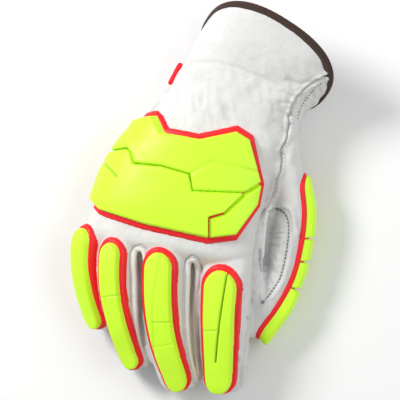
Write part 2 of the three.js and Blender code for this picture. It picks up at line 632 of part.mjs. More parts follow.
// Leather panels, cut from one hollow shell
const outside = handBody(0);
const shell = outside.subtract(handBody(-LEATHER, LEATHER * 8));
const gussetTop = WEB_DEPTH * 1.15;
const gussetBlock = block(corners(GUSSET_OUTLINE), 0.12 * PALM_DEPTH, gussetTop);
const gussetHole = block(insetOutline(corners(GUSSET_OUTLINE), -SEAM_GAP), 0.12 * PALM_DEPTH - SEAM_GAP, FAR);
const backSpace = aboveSeam(0).intersect(besideThumb(0));
const backHole = aboveSeam(-SEAM_GAP).intersect(besideThumb(-SEAM_GAP));
add('back_panel', shell.intersect(backSpace).subtract(gussetHole), whiteLeather);
add('palm_panel', shell.subtract(backHole).subtract(gussetHole), whiteLeather);
add('thumb_gusset', shell.intersect(gussetBlock), gussetLeather);

// Binding tape, folded over the cuff's rim
function bindingTape() {
  const rim = sectionAt(TRUNK, 1);
  const before = sectionAt(TRUNK, 1 - 1 / TRUNK_STEPS);
  const heading = radians(rim.heading);
  const outwards = new THREE.Vector3(-Math.sin(heading), Math.cos(heading), 0);
  const outer = CLEARANCE + TAPE;
  const profile = [
    { grow: CLEARANCE, along: -TAPE_LEG }, { grow: outer, along: -TAPE_LEG }, { grow: outer, along: outer },
    { grow: -LEATHER - outer, along: outer }, { grow: -LEATHER - outer, along: -TAPE_LEG },
    { grow: -LEATHER - CLEARANCE, along: -TAPE_LEG }, { grow: -LEATHER - CLEARANCE, along: CLEARANCE },
    { grow: CLEARANCE, along: CLEARANCE },
  ];
  const rings = Array.from({ length: TRUNK_SIDES }, (_, j) => {
    const angle = (j * 2 * Math.PI) / TRUNK_SIDES;
    return profile.map(({ grow, along }) => {
      const floor = Math.max(-grow, 0);
      const edge = sectionPoint(rim, angle, grow, floor);
      if (along > 0) return edge.addScaledVector(outwards, along);
      const inwards = sectionPoint(before, angle, grow, floor).sub(edge).normalize();
      return edge.addScaledVector(inwards, -along);
    });
  });
  return solid(loft(rings, true));
}
add('cuff_binding', bindingTape(), brownTape);

// Tab sewn to the wrist on the little-finger side
function wristTab() {
  const steps = 3;
  const rings = Array.from({ length: steps + 1 }, (_, i) => {
    const section = sectionAt(TRUNK, TAB.from + ((TAB.to - TAB.from) * i) / steps);
    const end = i === 0 || i === steps;
    const reach = end ? 0.6 * TAB_REACH : TAB_REACH;
    return [[TAB.low, 0], [TAB.low, reach], [TAB.high, reach], [TAB.high, 0]]
      .map(([angle, grow]) => sectionPoint(section, radians(angle), grow, 0));
  });
  return solid(loft(rings)).subtract(trunkBody(CLEARANCE));
}
add('wrist_tab', wristTab(), redRubber);

// Rolled seams between the fingers
const leatherSpace = handBody(0.9 * CLEARANCE);
for (const [name, welt] of Object.entries(WELTS)) {
  add(name, weltTube(welt).subtract(leatherSpace), whiteLeather);
}

// Guard on the back of the hand: a red base and three yellow plates
const baseTop = CLEARANCE + BASE_THICKNESS;
const plateLow = baseTop + CLEARANCE;
function backLayer(low, high) {
  return trunkBody(high).subtract(trunkBody(low));
}
const backCorners = corners(BACK_OUTLINE);
const plateCorners = insetOutline(backCorners, BORDER);
const grooveCut = joined([
  wall(corners(BACK_GROOVE), GROOVE, 0, FAR),
  wall(corners(CORNER_GROOVE), GROOVE, 0, FAR),
]);
const backBase = backLayer(CLEARANCE, baseTop).intersect(block(backCorners, PLATE_HEM, FAR));
add('back_guard_base', backBase.subtract(leatherSpace), redRubber);
const plates = backLayer(plateLow, plateLow + PLATE_THICKNESS)
  .intersect(block(plateCorners, PLATE_HEM + BORDER, FAR))
  .subtract(grooveCut)
  .decompose()
  .sort((a, b) => b.volume() - a.volume());
['back_plate_lower', 'back_plate_upper', 'back_plate_corner'].forEach((name, i) => {
  add(name, plates[i], yellowRubber);
});

// Guards on the fingers and the thumb: a red base under yellow pads
function digitGuard(name, digit) {
  const { start, end, lean } = digit.guard;
  const half = digit.guard.half * digit.width;
  const border = BORDER / digit.length;
  const pad = { start: start + border, end: end - border, half: half - BORDER, lean };
  const base = guardSlab(digit, { start, end, half, lean }, CLEARANCE, baseTop);
  add(`${name}_guard_base`, base.subtract(leatherSpace), redRubber);
  const low = baseTop + CLEARANCE;
  const high = low + PAD_THICKNESS;
  if (name === 'index') {
    const slot = { start: pad.start + 3 * border, end: pad.end - 6 * border, half: CREASE / 2, lean };
    const cut = guardSlab(digit, slot, low + PAD_THICKNESS / 3, high + CREASE, { across: 2 });
    add('index_guard_pad', guardSlab(digit, pad, low, high).subtract(cut), yellowRubber);
    return;
  }
  if (name !== 'thumb') {
    add(`${name}_guard_pad`, guardSlab(digit, pad, low, high), yellowRubber);
    return;
  }
  const cuts = [0, ...THUMB_CUTS, 1];
  const padLength = (pad.end - pad.start) * digit.length;
  const halfGroove = GROOVE / padLength;
  for (let i = 0; i < cuts.length - 1; i += 1) {
    const first = i === 0;
    const last = i === cuts.length - 2;
    const from = cuts[i] + (first ? 0 : halfGroove);
    const to = cuts[i + 1] - (last ? 0 : halfGroove);
    const piece = {
      ...pad,
      start: pad.start + from * (pad.end - pad.start),
      end: pad.start + to * (pad.end - pad.start),
    };
    const made = guardSlab(digit, piece, low, high, { roundStart: first, roundEnd: last });
    add(`thumb_guard_block_${i + 1}`, made, yellowRubber);
  }
}
for (const [name, digit] of Object.entries(DIGITS)) digitGuard(name, digit);

// The frame's origin is the middle of the footprint, on the surface that the glove lies on
const box = new THREE.Box3().setFromObject(glove);
const centre = box.getCenter(new THREE.Vector3());
glove.position.set(-centre.x, -centre.y, -box.min.z);
glove.updateMatrixWorld(true);

export default glove;
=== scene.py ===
"""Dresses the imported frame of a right-hand impact glove: sewn white leather, a bound cuff,
and two-layer moulded guards on the back of the hand, the fingers and the thumb."""

import math

import bpy
import numpy as np
from bpy.props import FloatProperty, FloatVectorProperty, IntProperty, PointerProperty
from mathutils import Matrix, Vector
from mathutils.bvhtree import BVHTree


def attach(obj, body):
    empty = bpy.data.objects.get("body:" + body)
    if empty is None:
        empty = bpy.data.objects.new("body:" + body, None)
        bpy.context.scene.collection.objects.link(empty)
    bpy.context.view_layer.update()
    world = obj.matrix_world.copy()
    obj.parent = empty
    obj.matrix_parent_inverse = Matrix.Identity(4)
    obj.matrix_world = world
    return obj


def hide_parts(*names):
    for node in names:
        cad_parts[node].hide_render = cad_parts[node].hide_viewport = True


bl_info = {
    "name": "Impact Glove",
    "version": (1, 0, 0),
    "blender": (4, 5, 0),
    "location": "View3D > Sidebar > Glove",
    "description": "Builds the leather, guards, binding and stitching of an impact glove",
    "category": "Add Mesh",
}

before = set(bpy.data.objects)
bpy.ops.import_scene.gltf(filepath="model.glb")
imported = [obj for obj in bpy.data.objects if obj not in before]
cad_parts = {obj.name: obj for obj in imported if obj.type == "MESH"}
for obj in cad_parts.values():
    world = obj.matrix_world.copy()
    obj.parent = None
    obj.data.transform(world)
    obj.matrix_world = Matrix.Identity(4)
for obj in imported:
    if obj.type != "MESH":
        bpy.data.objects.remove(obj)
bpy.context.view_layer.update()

# Lengths below are millimetres in the maker's drawing, where the knuckles' middle is the
# origin. ORIGIN is where that drawing's origin lies in the row's frame.
ORIGIN = np.array([-21.832, -32.883, 0.0])
MM = 0.001
TRUNK_LENGTH = 128.6
PALM_WIDTH = 108.8
KNUCKLE_DEPTH = 37.0
PALM_DEPTH = 48.0
WRIST_WIDTH = 87.0
WRIST_DEPTH = 46.0
CUFF_WIDTH = 90.0
CUFF_DEPTH = 59.0
CUFF_SLANT = 38.0
WEB_WIDTH = 32.0
WEB_DEPTH = 34.0
LEATHER = 1.8
CLEARANCE = 0.3
BASE_TOP = 1.9
BASE_RIM = 0.75
PAD_THICKNESS = 3.4
PLATE_THICKNESS = 4.2
BORDER = 3.2
TRUNK_POWER = 2.35
DIGIT_POWER = 2.3
TIP_POWER = 2.9
TIP_TAPER = 0.12
SEAM_FALL = 0.12
PLATE_HEM = 15.0
# How deep a base's foot lies in the leather and a pad's foot in its base, and how low and how
# steeply a pad falls just outside its outline
BASE_SINK = 0.7
PAD_SINK = 0.8
PAD_SKIRT = 0.5
SKIRT_SLOPE = 1.6
# Painted light: how strongly the bright rubbers are made to shine of themselves, though they are no lamps
RED_PAINTED_GLOW = 0.045
YELLOW_PAINTED_GLOW = 0.12

# Sections of the trunk: x, y, width, depth, under, heading, roll, lean
TRUNK = [
    (-0.012, -0.055, 0.66 * PALM_WIDTH, 0.34 * KNUCKLE_DEPTH, 0.5 * KNUCKLE_DEPTH, -10, 6, 0),
    (-0.006, -0.028, 0.86 * PALM_WIDTH, 0.68 * KNUCKLE_DEPTH, 0.37 * KNUCKLE_DEPTH, -10, 7, 0),
    (0, 0.022, 0.99 * PALM_WIDTH, 0.93 * KNUCKLE_DEPTH, 0.27 * KNUCKLE_DEPTH, -10, 8, 0),
    (0.041, 0.1, PALM_WIDTH, 1.05 * KNUCKLE_DEPTH, 0.2 * KNUCKLE_DEPTH, -9, 8, 0),
    (0.069, 0.21, 0.975 * PALM_WIDTH, 0.91 * PALM_DEPTH, 0.09 * PALM_DEPTH, -8, 7, 0),
    (0.115, 0.343, 0.955 * PALM_WIDTH, 0.99 * PALM_DEPTH, 0, -8, 6, 0),
    (0.191, 0.468, 0.94 * PALM_WIDTH, 1.02 * PALM_DEPTH, -0.04 * PALM_DEPTH, -8, 4, 0),
    (0.274, 0.572, 0.9 * PALM_WIDTH, PALM_DEPTH, -0.04 * PALM_DEPTH, -9, 3, 0),
    (0.343, 0.667, 1.05 * WRIST_WIDTH, 1.02 * WRIST_DEPTH, -0.03 * WRIST_DEPTH, -12, 2, 2),
    (0.406, 0.742, WRIST_WIDTH, WRIST_DEPTH, -0.02 * WRIST_DEPTH, -17, 1, 0.24 * CUFF_SLANT),
    (0.459, 0.826, 0.985 * WRIST_WIDTH, 1.05 * WRIST_DEPTH, 0, -22, 0, 0.5 * CUFF_SLANT),
    (0.508, 0.893, 0.965 * CUFF_WIDTH, 0.88 * CUFF_DEPTH, 0.025 * CUFF_DEPTH, -28, 0, 0.74 * CUFF_SLANT),
    (0.593, 0.978, CUFF_WIDTH, CUFF_DEPTH, 0.04 * CUFF_DEPTH, -33, 0, CUFF_SLANT),
]
# Sections of the fold between the thumb and the palm, in the same columns
WEB = [
    (0.46, 0.66, 0.7 * WEB_WIDTH, 0.8 * WEB_DEPTH, 0.2 * WEB_DEPTH, -8, -8, 0),
    (0.53, 0.46, 1.2 * WEB_WIDTH, 1.15 * WEB_DEPTH, 0, -6, -8, 0),
    (0.58, 0.33, 1.2 * WEB_WIDTH, 0.98 * WEB_DEPTH, -0.02 * WEB_DEPTH, -4, -8, 0),
    (0.6, 0.19, 1.1 * WEB_WIDTH, 0.68 * WEB_DEPTH, -0.02 * WEB_DEPTH, 0, -4, 0),
    (0.605, 0.05, 0.95 * WEB_WIDTH, 0.5 * WEB_DEPTH, 0, 4, 0, 0),
    (0.605, -0.09, 0.62 * WEB_WIDTH, 0.42 * WEB_DEPTH, 0.02 * WEB_DEPTH, 8, 0, 0),
    (0.58, -0.24, 0.42 * WEB_WIDTH, 0.36 * WEB_DEPTH, 0.04 * WEB_DEPTH, 12, 0, 0),
]
# Each digit: its size, how its back is turned, its root, its bones as share, yaw and pitch,
# and its guard as start, end, half its width as a share of the digit's, and lean
DIGITS = {
    "index": {
        "length": 101, "width": 33, "depth": 25, "left": 1.34, "right": 1.1, "roll": 10,
        "root": (0.36 * PALM_WIDTH, 0.06 * TRUNK_LENGTH, 0.82 * KNUCKLE_DEPTH),
        "bones": [(0.25, -4, 0), (0.25, -3, 6), (0.26, 0, 15), (0.24, 0, 17)],
        "guard": (0.18, 0.975, 0.415, 4),
    },
    "middle": {
        "length": 105, "width": 30, "depth": 24.5, "left": 1.12, "right": 1.28, "roll": 10,
        "root": (-0.012 * PALM_WIDTH, 0.08 * TRUNK_LENGTH, 0.84 * KNUCKLE_DEPTH),
        "bones": [(0.25, -4, 0), (0.21, 1, 5), (0.21, 9, 13), (0.19, 17, 19), (0.14, 19, 20)],
        "guard": (0.101, 0.965, 0.395, 4),
    },
    "ring": {
        "length": 94, "width": 25, "depth": 22, "left": 1, "right": 1.13, "roll": 24,
        "root": (-0.276 * PALM_WIDTH, 0.1 * TRUNK_LENGTH, 0.72 * KNUCKLE_DEPTH),
        "bones": [(0.21, -8, -1), (0.2, 1, 5), (0.22, 11, 12), (0.2, 17, 19), (0.17, 22, 16)],
        "guard": (0.08, 0.96, 0.385, 0),
    },
    "little": {
        "length": 81, "width": 20, "depth": 19.5, "left": 1, "right": 1.08, "roll": 44,
        "root": (-0.356 * PALM_WIDTH, 0.19 * TRUNK_LENGTH, 0.6 * KNUCKLE_DEPTH),
        "bones": [(0.24, -29, 1), (0.2, -5, 6), (0.2, 8, 13), (0.18, 15, 16), (0.18, 20, 14)],
        "guard": (0.17, 0.95, 0.445, 0),
    },
    "thumb": {
        "length": 167, "width": 26, "depth": 21.5, "left": 1, "right": 1, "roll": -80,
        "root": (0.6 * PALM_WIDTH, 0.778 * TRUNK_LENGTH, 0.54 * PALM_DEPTH),
        "bones": [(0.1, 30, 6), (0.135, 6, 6), (0.127, 8, 8), (0.118, 6, 7), (0.118, -6, 4),
                  (0.118, -14, 3), (0.108, -27, 2), (0.1, -35, 1), (0.076, -36, 1)],
        "guard": (0.319, 0.982, 0.44, 0),
    },
}
DIGIT_GAP = 1.2
THUMB_CUTS = (0.36, 0.5, 0.655)
THUMB_CUT_HALF = 0.7
THUMB_BASE_INSET = 1.2
THUMB_GUARD_TURN = 1.3
DIGIT_TAPERS = {"index": 0.17, "middle": 0.2, "ring": 0.16, "little": 0.1, "thumb": 0.0}
DIGIT_BORDERS = {"index": 2.9, "middle": 2.9, "ring": 2.9, "little": 2.3, "thumb": 2.5}
THUMB_TIP_RISE = 2.0
# Outline of the back guard, as shares of the palm's width and the trunk's length. Its left
# end runs on past the hand, because the guard wraps round the little-finger side.
BACK_OUTLINE = [
    (-0.72, 0.538), (-0.5, 0.6), (-0.15, 0.698), (-0.064, 0.704), (-0.01, 0.612), (0.185, 0.582),
    (0.415, 0.62), (0.509, 0.572), (0.579, 0.333), (0.553, 0.219), (0.415, 0.055),
    (0.239, 0.038), (-0.15, 0.11), (-0.418, 0.181), (-0.72, 0.445),
]
BACK_GROOVE = [
    (-0.7, 0.46), (-0.233, 0.513), (-0.212, 0.495), (-0.194, 0.436), (-0.035, 0.423),
    (0.129, 0.382), (0.147, 0.299), (0.456, 0.289),
]
CORNER_GROOVE = [
    (0.7, 0.43), (0.544, 0.338), (0.456, 0.289), (0.332, 0.184), (0.246, 0.163), (0.246, -0.1),
]
GUSSET_OUTLINE = [
    (0.58, 0.202), (0.621, 0.222), (0.669, 0.212), (0.705, 0.172), (0.723, 0.106),
    (0.711, 0.035), (0.699, -0.051), (0.669, -0.147), (0.621, -0.212), (0.562, -0.253),
    (0.55, -0.202), (0.562, -0.101), (0.5675, 0.051), (0.5735, 0.152),
]
SIDE_SEAM = [
    (-1.6, 0.16), (-0.7, 0.27), (-0.4, 0.42), (-0.1, 0.54), (0.2, 0.52), (0.5, 0.5),
    (0.8, 0.56), (1.5, 0.62),
]
THUMB_SEAM = [
    (1.1, 1.3), (1.05, 1), (0.92, 0.859), (0.846, 0.811), (0.79, 0.783), (0.747, 0.728),
    (0.717, 0.652), (0.72, 0.612), (0.702, 0.556), (0.669, 0.505), (0.675, 0.45),
    (0.669, 0.394), (0.633, 0.334), (0.636, 0.293), (0.597, 0.2325), (0.562, 0.177),
    (0.532, 0.131), (0.514, 0.02), (0.502, -0.1415), (0.48, -0.344), (0.48, -1.6),
]
# Strips between neighbouring fingers: the fingers, and from where to where along them
FOURCHETTES = [("little", "ring", 0.1, 0.62), ("ring", "middle", 0.1, 0.82),
               ("middle", "index", 0.1, 0.8)]
FOURCHETTE_HALF = 7.5
FOURCHETTE_SINK = 5.5
FOURCHETTE_SHARE = 0.42
# The fold beside the thumb's gusset: place on the drawing sheet and height of its top
WEB_FOLD = [
    (270, 196, 36), (265.5, 209, 34), (262, 225, 32), (259.5, 243, 30.5), (258, 262, 28.5),
    (256.4, 280, 27.5), (255.6, 297, 26.5), (253.5, 313, 25),
]
WEB_FOLD_HALF = 4.6
WEB_FOLD_RISE = 10.0
# How far round its dome a digit's last ring lies
TIP_END_DEGREES = 86


class GloveSizes(bpy.types.PropertyGroup):
    """Sizes of the dressing"""

    leather_cell: FloatProperty(name="Leather cell", description="Mesh size of the leather",
                                default=0.00085, min=0.0005, max=0.004, unit="LENGTH")
    guard_cell: FloatProperty(name="Guard cell", description="Mesh size of the moulded guards",
                              default=0.0005, min=0.0003, max=0.003, unit="LENGTH")
    wrinkle: FloatProperty(name="Wrinkles", description="Height of the leather's folds",
                           default=0.0013, min=0.0, max=0.003, unit="LENGTH")
    edge_radius: FloatProperty(name="Edge radius", description="Rounding of the pads' edges",
                               default=0.0015, min=0.0002, max=0.003, unit="LENGTH")
    stitch_pitch: FloatProperty(name="Stitch pitch", description="From one stitch to the next",
                                default=0.0026, min=0.0015, max=0.006, unit="LENGTH")
    tape_ribs: IntProperty(name="Tape samples", description="Points round the binding tape",
                           default=420, min=100, max=1200)


class GloveColours(bpy.types.PropertyGroup):
    """Colours of the finishes"""

    leather: FloatVectorProperty(name="Leather", description="White grain leather", size=3,
                                 default=(0.745, 0.745, 0.735), min=0, max=1, subtype="COLOR")
    # painted light: a lighter copy of the white leather, brightening the gusset's shaded hollow
    gusset: FloatVectorProperty(name="Gusset", description="Leather of the thumb's gusset", size=3,
                                default=(0.76, 0.76, 0.755), min=0, max=1, subtype="COLOR")
    yellow: FloatVectorProperty(name="Pads", description="Moulded yellow rubber", size=3,
                                default=(0.56, 0.93, 0.03), min=0, max=1, subtype="COLOR")
    red: FloatVectorProperty(name="Bases", description="Moulded red rubber", size=3,
                             default=(0.86, 0.011, 0.018), min=0, max=1, subtype="COLOR")
    tape: FloatVectorProperty(name="Tape", description="Brown binding tape", size=3,
                              default=(0.052, 0.024, 0.016), min=0, max=1, subtype="COLOR")
    thread: FloatVectorProperty(name="Thread", description="Sewing thread", size=3,
                                default=(0.62, 0.62, 0.6), min=0, max=1, subtype="COLOR")
    dark_thread: FloatVectorProperty(name="Dark thread", description="Thread of the darker seams",
                                     size=3, default=(0.2, 0.2, 0.2), min=0, max=1,
                                     subtype="COLOR")


def sizes():
    return bpy.context.scene.glove_sizes


def colours():
    return bpy.context.scene.glove_colours


# Curves and surfaces, in drawing millimetres

NOISE_PRIMES = np.array([73856093, 19349663, 83492791])

def spline(values, t):
    """Smooth curve through evenly spaced values, t from 0 to 1"""
    values = np.asarray(values, float)
    last = len(values) - 1
    place = np.clip(t, 0, 1) * last
    i = np.minimum(place.astype(int), last - 1)
    f = place - i
    if values.ndim > 1:
        f = f[..., None]
    a, b = values[np.maximum(i - 1, 0)], values[i]
    c, d = values[i + 1], values[np.minimum(i + 2, last)]
    return b + 0.5 * f * (c - a + f * (2 * a - 5 * b + 4 * c - d + f * (3 * (b - c) + d - a)))


def rounded(value, power):
    return np.sign(value) * np.abs(value) ** (2 / power)


def section_surface(rows, t, angle, grow):
    """Points of the trunk or the web, t along it and angle from the thumb's side, in radians"""
    t, angle, grow = np.broadcast_arrays(np.asarray(t, float), angle, grow)
    table = np.array(rows, float)
    table[:, 0] *= PALM_WIDTH
    table[:, 1] *= TRUNK_LENGTH
    x, y, width, depth, under, heading, roll, lean = np.moveaxis(spline(table, t), -1, 0)
    heading, roll, lean = np.radians(heading), np.radians(roll), np.radians(lean)
    across = rounded(np.cos(angle), TRUNK_POWER) * (width / 2 + grow)
    up = rounded(np.sin(angle), TRUNK_POWER) * (depth / 2 + grow)
    side = across * np.cos(roll) - up * np.sin(roll)
    rise = across * np.sin(roll) + up * np.cos(roll)
    forward = rise * np.tan(lean)
    return np.stack([
        x + side * np.cos(heading) - forward * np.sin(heading),
        y + side * np.sin(heading) + forward * np.cos(heading),
        under + depth / 2 + rise,
    ], axis=-1)


def digit_joints(digit):
    joints = [np.array(digit["root"], float)]
    shares = [0.0]
    for share, yaw, pitch in digit["bones"]:
        reach = share * digit["length"]
        level = reach * math.cos(math.radians(pitch))
        step = (level * math.sin(math.radians(yaw)), -level * math.cos(math.radians(yaw)),
                -reach * math.sin(math.radians(pitch)))
        joints.append(joints[-1] + np.array(step))
        shares.append(shares[-1] + share)
    return np.array(joints), np.array(shares)


def digit_line(digit, share):
    """Points of a digit's middle line"""
    joints, shares = digit_joints(digit)
    wanted = np.asarray(share, float) * shares[-1]
    i = np.clip(np.searchsorted(shares, wanted, side="left"), 1, len(shares) - 1)
    t = (i - 1 + (wanted - shares[i - 1]) / (shares[i] - shares[i - 1])) / (len(shares) - 1)
    return spline(joints, t)


def digit_surface(digit, share, angle, grow):
    """Points of a digit's skin: share along it, angle from its back, height above the leather"""
    share, angle, grow = np.broadcast_arrays(np.asarray(share, float), angle, grow)
    dome = digit["depth"] / 2
    dome_start = 1 - dome / digit["length"]
    along = np.minimum(share, dome_start)
    centre = digit_line(digit, along)
    ahead = digit_line(digit, np.minimum(along + 0.02, 1)) - digit_line(digit, along - 0.02)
    ahead /= np.linalg.norm(ahead, axis=-1, keepdims=True)
    swell = np.clip((share - dome_start) / (1 - dome_start), 0, 1)
    shrink = np.maximum(1 - swell ** TIP_POWER, 0) ** (1 / TIP_POWER)
    centre = centre + ahead * (swell * (dome + grow))[..., None]
    back = -ahead * ahead[..., 2:3]
    back[..., 2] += 1
    back /= np.linalg.norm(back, axis=-1, keepdims=True)
    side = -np.cross(ahead, back)
    turn = math.radians(digit["roll"])
    rolled_back = back * math.cos(turn) - side * math.sin(turn)
    rolled_side = side * math.cos(turn) + back * math.sin(turn)
    taper = 1 - TIP_TAPER * along ** 3
    low = np.clip((0.34 - np.cos(angle)) / 0.68, 0, 1)
    right = (np.mod(angle, 2 * math.pi) > 0) & (np.mod(angle, 2 * math.pi) < math.pi)
    swollen = np.where(right, digit["right"], digit["left"]) - 1
    wide = taper * (1 + swollen * low * np.minimum(4 * (1 - share), 1))
    across = rounded(np.sin(angle), DIGIT_POWER) * (wide * digit["width"] / 2 + grow) * shrink
    up = rounded(np.cos(angle), DIGIT_POWER) * (taper * digit["depth"] / 2 + grow) * shrink
    return centre + rolled_side * across[..., None] + rolled_back * up[..., None]


def outline_mm(points):
    """Seen-from-above corners in millimetres"""
    return np.array(points, float) * (PALM_WIDTH, TRUNK_LENGTH)


def drawn(points):
    """Places on the drawing sheet, whose unit is 0.65 mm, as millimetres"""
    return (np.array(points, float) * (1, -1) + (-168, 250)) * 0.65


def segment_distance(points, line):
    """Distance of each point to a line of segments, and the share along it of the nearest place"""
    best = np.full(len(points), 1e9)
    place = np.zeros(len(points))
    lengths = np.linalg.norm(np.diff(line, axis=0), axis=1)
    before = np.concatenate([[0], np.cumsum(lengths)])
    for i, (a, b) in enumerate(zip(line[:-1], line[1:])):
        step = b - a
        t = np.clip(((points - a) @ step) / max(step @ step, 1e-12), 0, 1)
        gap = np.linalg.norm(points - a - t[:, None] * step, axis=1)
        near = gap < best
        best[near] = gap[near]
        place[near] = (before[i] + t[near] * lengths[i]) / before[-1]
    return best, place


def inside(points, outline):
    """Whether each point lies inside a closed outline"""
    x, y = points[:, 0], points[:, 1]
    result = np.zeros(len(points), bool)
    for a, b in zip(outline, np.roll(outline, -1, axis=0)):
        crosses = (a[1] > y) != (b[1] > y)
        if a[1] != b[1]:
            result ^= crosses & (x < a[0] + (y - a[1]) / (b[1] - a[1]) * (b[0] - a[0]))
    return result


def outline_depth(points, outline):
    """How deep each point lies inside an outline, negative outside"""
    gap, _ = segment_distance(points, np.vstack([outline, outline[:1]]))
    return np.where(inside(points, outline), gap, -gap)


def noise(points, scale, seed):
    """Smooth random height between -1 and 1, the same on every run"""
    p = points / scale + 13.7 * (seed + 1)
    cell = np.floor(p).astype(np.int64)
    f = p - cell
    f = f * f * (3 - 2 * f)
    total = np.zeros(len(points))
    for corner in np.ndindex(2, 2, 2):
        mixed = (cell + corner) * NOISE_PRIMES
        n = mixed[:, 0] ^ mixed[:, 1] ^ mixed[:, 2]
        n = ((n ^ (n >> 13)) * 1274126177) & 0x7FFFFFFF
        n = ((n >> 8) & 0xFFFF) / 32767.5 - 1
        total += n * np.where(corner, f, 1 - f).prod(axis=1)
    return total


def bell(distance, width):
    return np.exp(-(distance / width) ** 2)


# Meshes

def mesh_object(name, points, faces, shade=None):
    """A mesh object in the row's frame from drawing points"""
    mesh = bpy.data.meshes.new(name)
    place = (np.asarray(points) + ORIGIN) * MM
    mesh.from_pydata(place.tolist(), [], faces.tolist() if isinstance(faces, np.ndarray) else faces)
    mesh.update()
    mesh.shade_smooth()
    tone = np.ones(len(place), np.float32) if shade is None else np.asarray(shade, np.float32)
    mesh.attributes.new("shade", "FLOAT", "POINT").data.foreach_set("value", tone)
    made = bpy.data.objects.new(name, mesh)
    bpy.context.scene.collection.objects.link(made)
    return made


def finish_piece(piece, material, nodes=()):
    piece.data.materials.append(material)
    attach(piece, "root")
    if nodes:
        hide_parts(*nodes)
    return piece


def lattice_faces(rows, columns, loop=False, closed=False):
    """Quads of a lattice of points. Its columns close into a ring if it is a loop, and its rows
    too if it is closed."""
    i, j = np.meshgrid(np.arange(rows if closed else rows - 1),
                       np.arange(columns if loop else columns - 1), indexing="ij")
    down, right = (i + 1) % rows, (j + 1) % columns
    return np.stack([i * columns + j, i * columns + right, down * columns + right, down * columns + j],
                    axis=-1).reshape(-1, 4)


def tube(rings):
    """Closed tube through rings of points"""
    rows, columns = rings.shape[:2]
    faces = lattice_faces(rows, columns, True).tolist()
    faces.append(list(range(columns))[::-1])
    faces.append([(rows - 1) * columns + j for j in range(columns)])
    return rings.reshape(-1, 3), faces


def evaluated(piece):
    """The mesh of an object after its modifiers, as points in drawing millimetres and faces"""
    graph = bpy.context.evaluated_depsgraph_get()
    mesh = bpy.data.meshes.new_from_object(piece.evaluated_get(graph))
    points = np.zeros(len(mesh.vertices) * 3, np.float32)
    mesh.vertices.foreach_get("co", points)
    points = points.reshape(-1, 3).astype(float) / MM - ORIGIN
    starts = np.zeros(len(mesh.polygons), np.int32)
    totals = np.zeros(len(mesh.polygons), np.int32)
    loops = np.zeros(len(mesh.loops), np.int32)
    mesh.polygons.foreach_get("loop_start", starts)
    mesh.polygons.foreach_get("loop_total", totals)
    mesh.loops.foreach_get("vertex_index", loops)
    if len(totals) and totals.min() == totals.max() == 4:
        faces = loops[starts[:, None] + np.arange(4)]
    else:
        faces = [loops[s:s + n].tolist() for s, n in zip(starts, totals)]
    bpy.data.meshes.remove(mesh)
    return points, faces


def discard(piece):
    mesh = piece.data
    bpy.data.objects.remove(piece)
    bpy.data.meshes.remove(mesh)


def skin_of(bodies, cell):
    """One smooth skin round closed bodies that overlap, as points and quads"""
    points, faces, count = [], [], 0
    for body_points, body_faces in bodies:
        points.append(body_points)
        faces += [[v + count for v in face] for face in body_faces]
        count += len(body_points)
    whole = mesh_object("skin", np.vstack(points), faces)
    remesh = whole.modifiers.new("skin", "REMESH")
    remesh.mode = "VOXEL"
    remesh.voxel_size = cell * MM
    result = evaluated(whole)
    discard(whole)
    return result


def pressed(body, other):
    """A body with the space of another taken out of it"""
    one = mesh_object("pressed", *body)
    two = mesh_object("presser", *other)
    cut = one.modifiers.new("press", "BOOLEAN")
    cut.operation = "DIFFERENCE"
    cut.solver = "EXACT"
    cut.object = two
    points, faces = evaluated(one)
    discard(one)
    discard(two)
    return points, [list(face) for face in faces]


def relax(points, faces, rounds):
    """Evens out a mesh of quads, moving each point half-way to its neighbours' middle"""
    edges = np.vstack([faces[:, [k, (k + 1) % 4]] for k in range(4)])
    count = np.bincount(edges.ravel(), minlength=len(points)).astype(float)
    for _ in range(rounds):
        total = np.zeros_like(points)
        for axis in range(3):
            total[:, axis] = (np.bincount(edges[:, 0], points[edges[:, 1], axis], len(points))
                              + np.bincount(edges[:, 1], points[edges[:, 0], axis], len(points)))
        points = points + 0.5 * (total / np.maximum(count, 1)[:, None] - points)
    return points


def normals_of(points, faces):
    corners = [points[faces[:, k]] for k in range(4)]
    across = np.cross(corners[2] - corners[0], corners[3] - corners[1])
    total = np.zeros_like(points)
    for axis in range(3):
        for corner in range(4):
            total[:, axis] += np.bincount(faces[:, corner], across[:, axis], len(points))
    return total / np.maximum(np.linalg.norm(total, axis=1, keepdims=True), 1e-12)


def picked(points, faces, keep, *columns):
    """The kept quads of a mesh with only the points that they use"""
    faces = faces[keep]
    used, inverse = np.unique(faces, return_inverse=True)
    return (points[used], inverse.reshape(-1, 4), *[c[used] for c in columns])


# The leather

def section_body(rows, steps, sides, grow, past=0.0):
    t = np.linspace(0, 1, steps)[:, None]
    angle = np.linspace(0, 2 * math.pi, sides, endpoint=False)[None, :]
    rings = section_surface(rows, t, angle, grow)
    if past:
        heading = math.radians(rows[-1][5])
        out = np.array([-math.sin(heading), math.cos(heading), 0.0])
        rings = np.vstack([rings, rings[-1:] + out * past])
    elif grow > 0:
        heading = math.radians(rows[0][5])
        rings[0] += np.array([math.sin(heading), -math.cos(heading), 0.0]) * grow
    rings[..., 2] = np.maximum(rings[..., 2], max(-grow, 0))
    return tube(rings)


def digit_body(digit, steps, sides, grow):
    dome_start = 1 - digit["depth"] / 2 / digit["length"]
    rounding = np.radians(np.linspace(0, TIP_END_DEGREES, 16))
    share = np.concatenate([np.linspace(0, dome_start, steps, endpoint=False),
                            dome_start + (1 - dome_start) * np.sin(rounding)])
    angle = np.linspace(0, 2 * math.pi, sides, endpoint=False)
    rings = digit_surface(digit, share[:, None], angle[None, :], grow)
    rings[..., 2] = np.maximum(rings[..., 2], max(-grow, 0))
    return tube(rings)


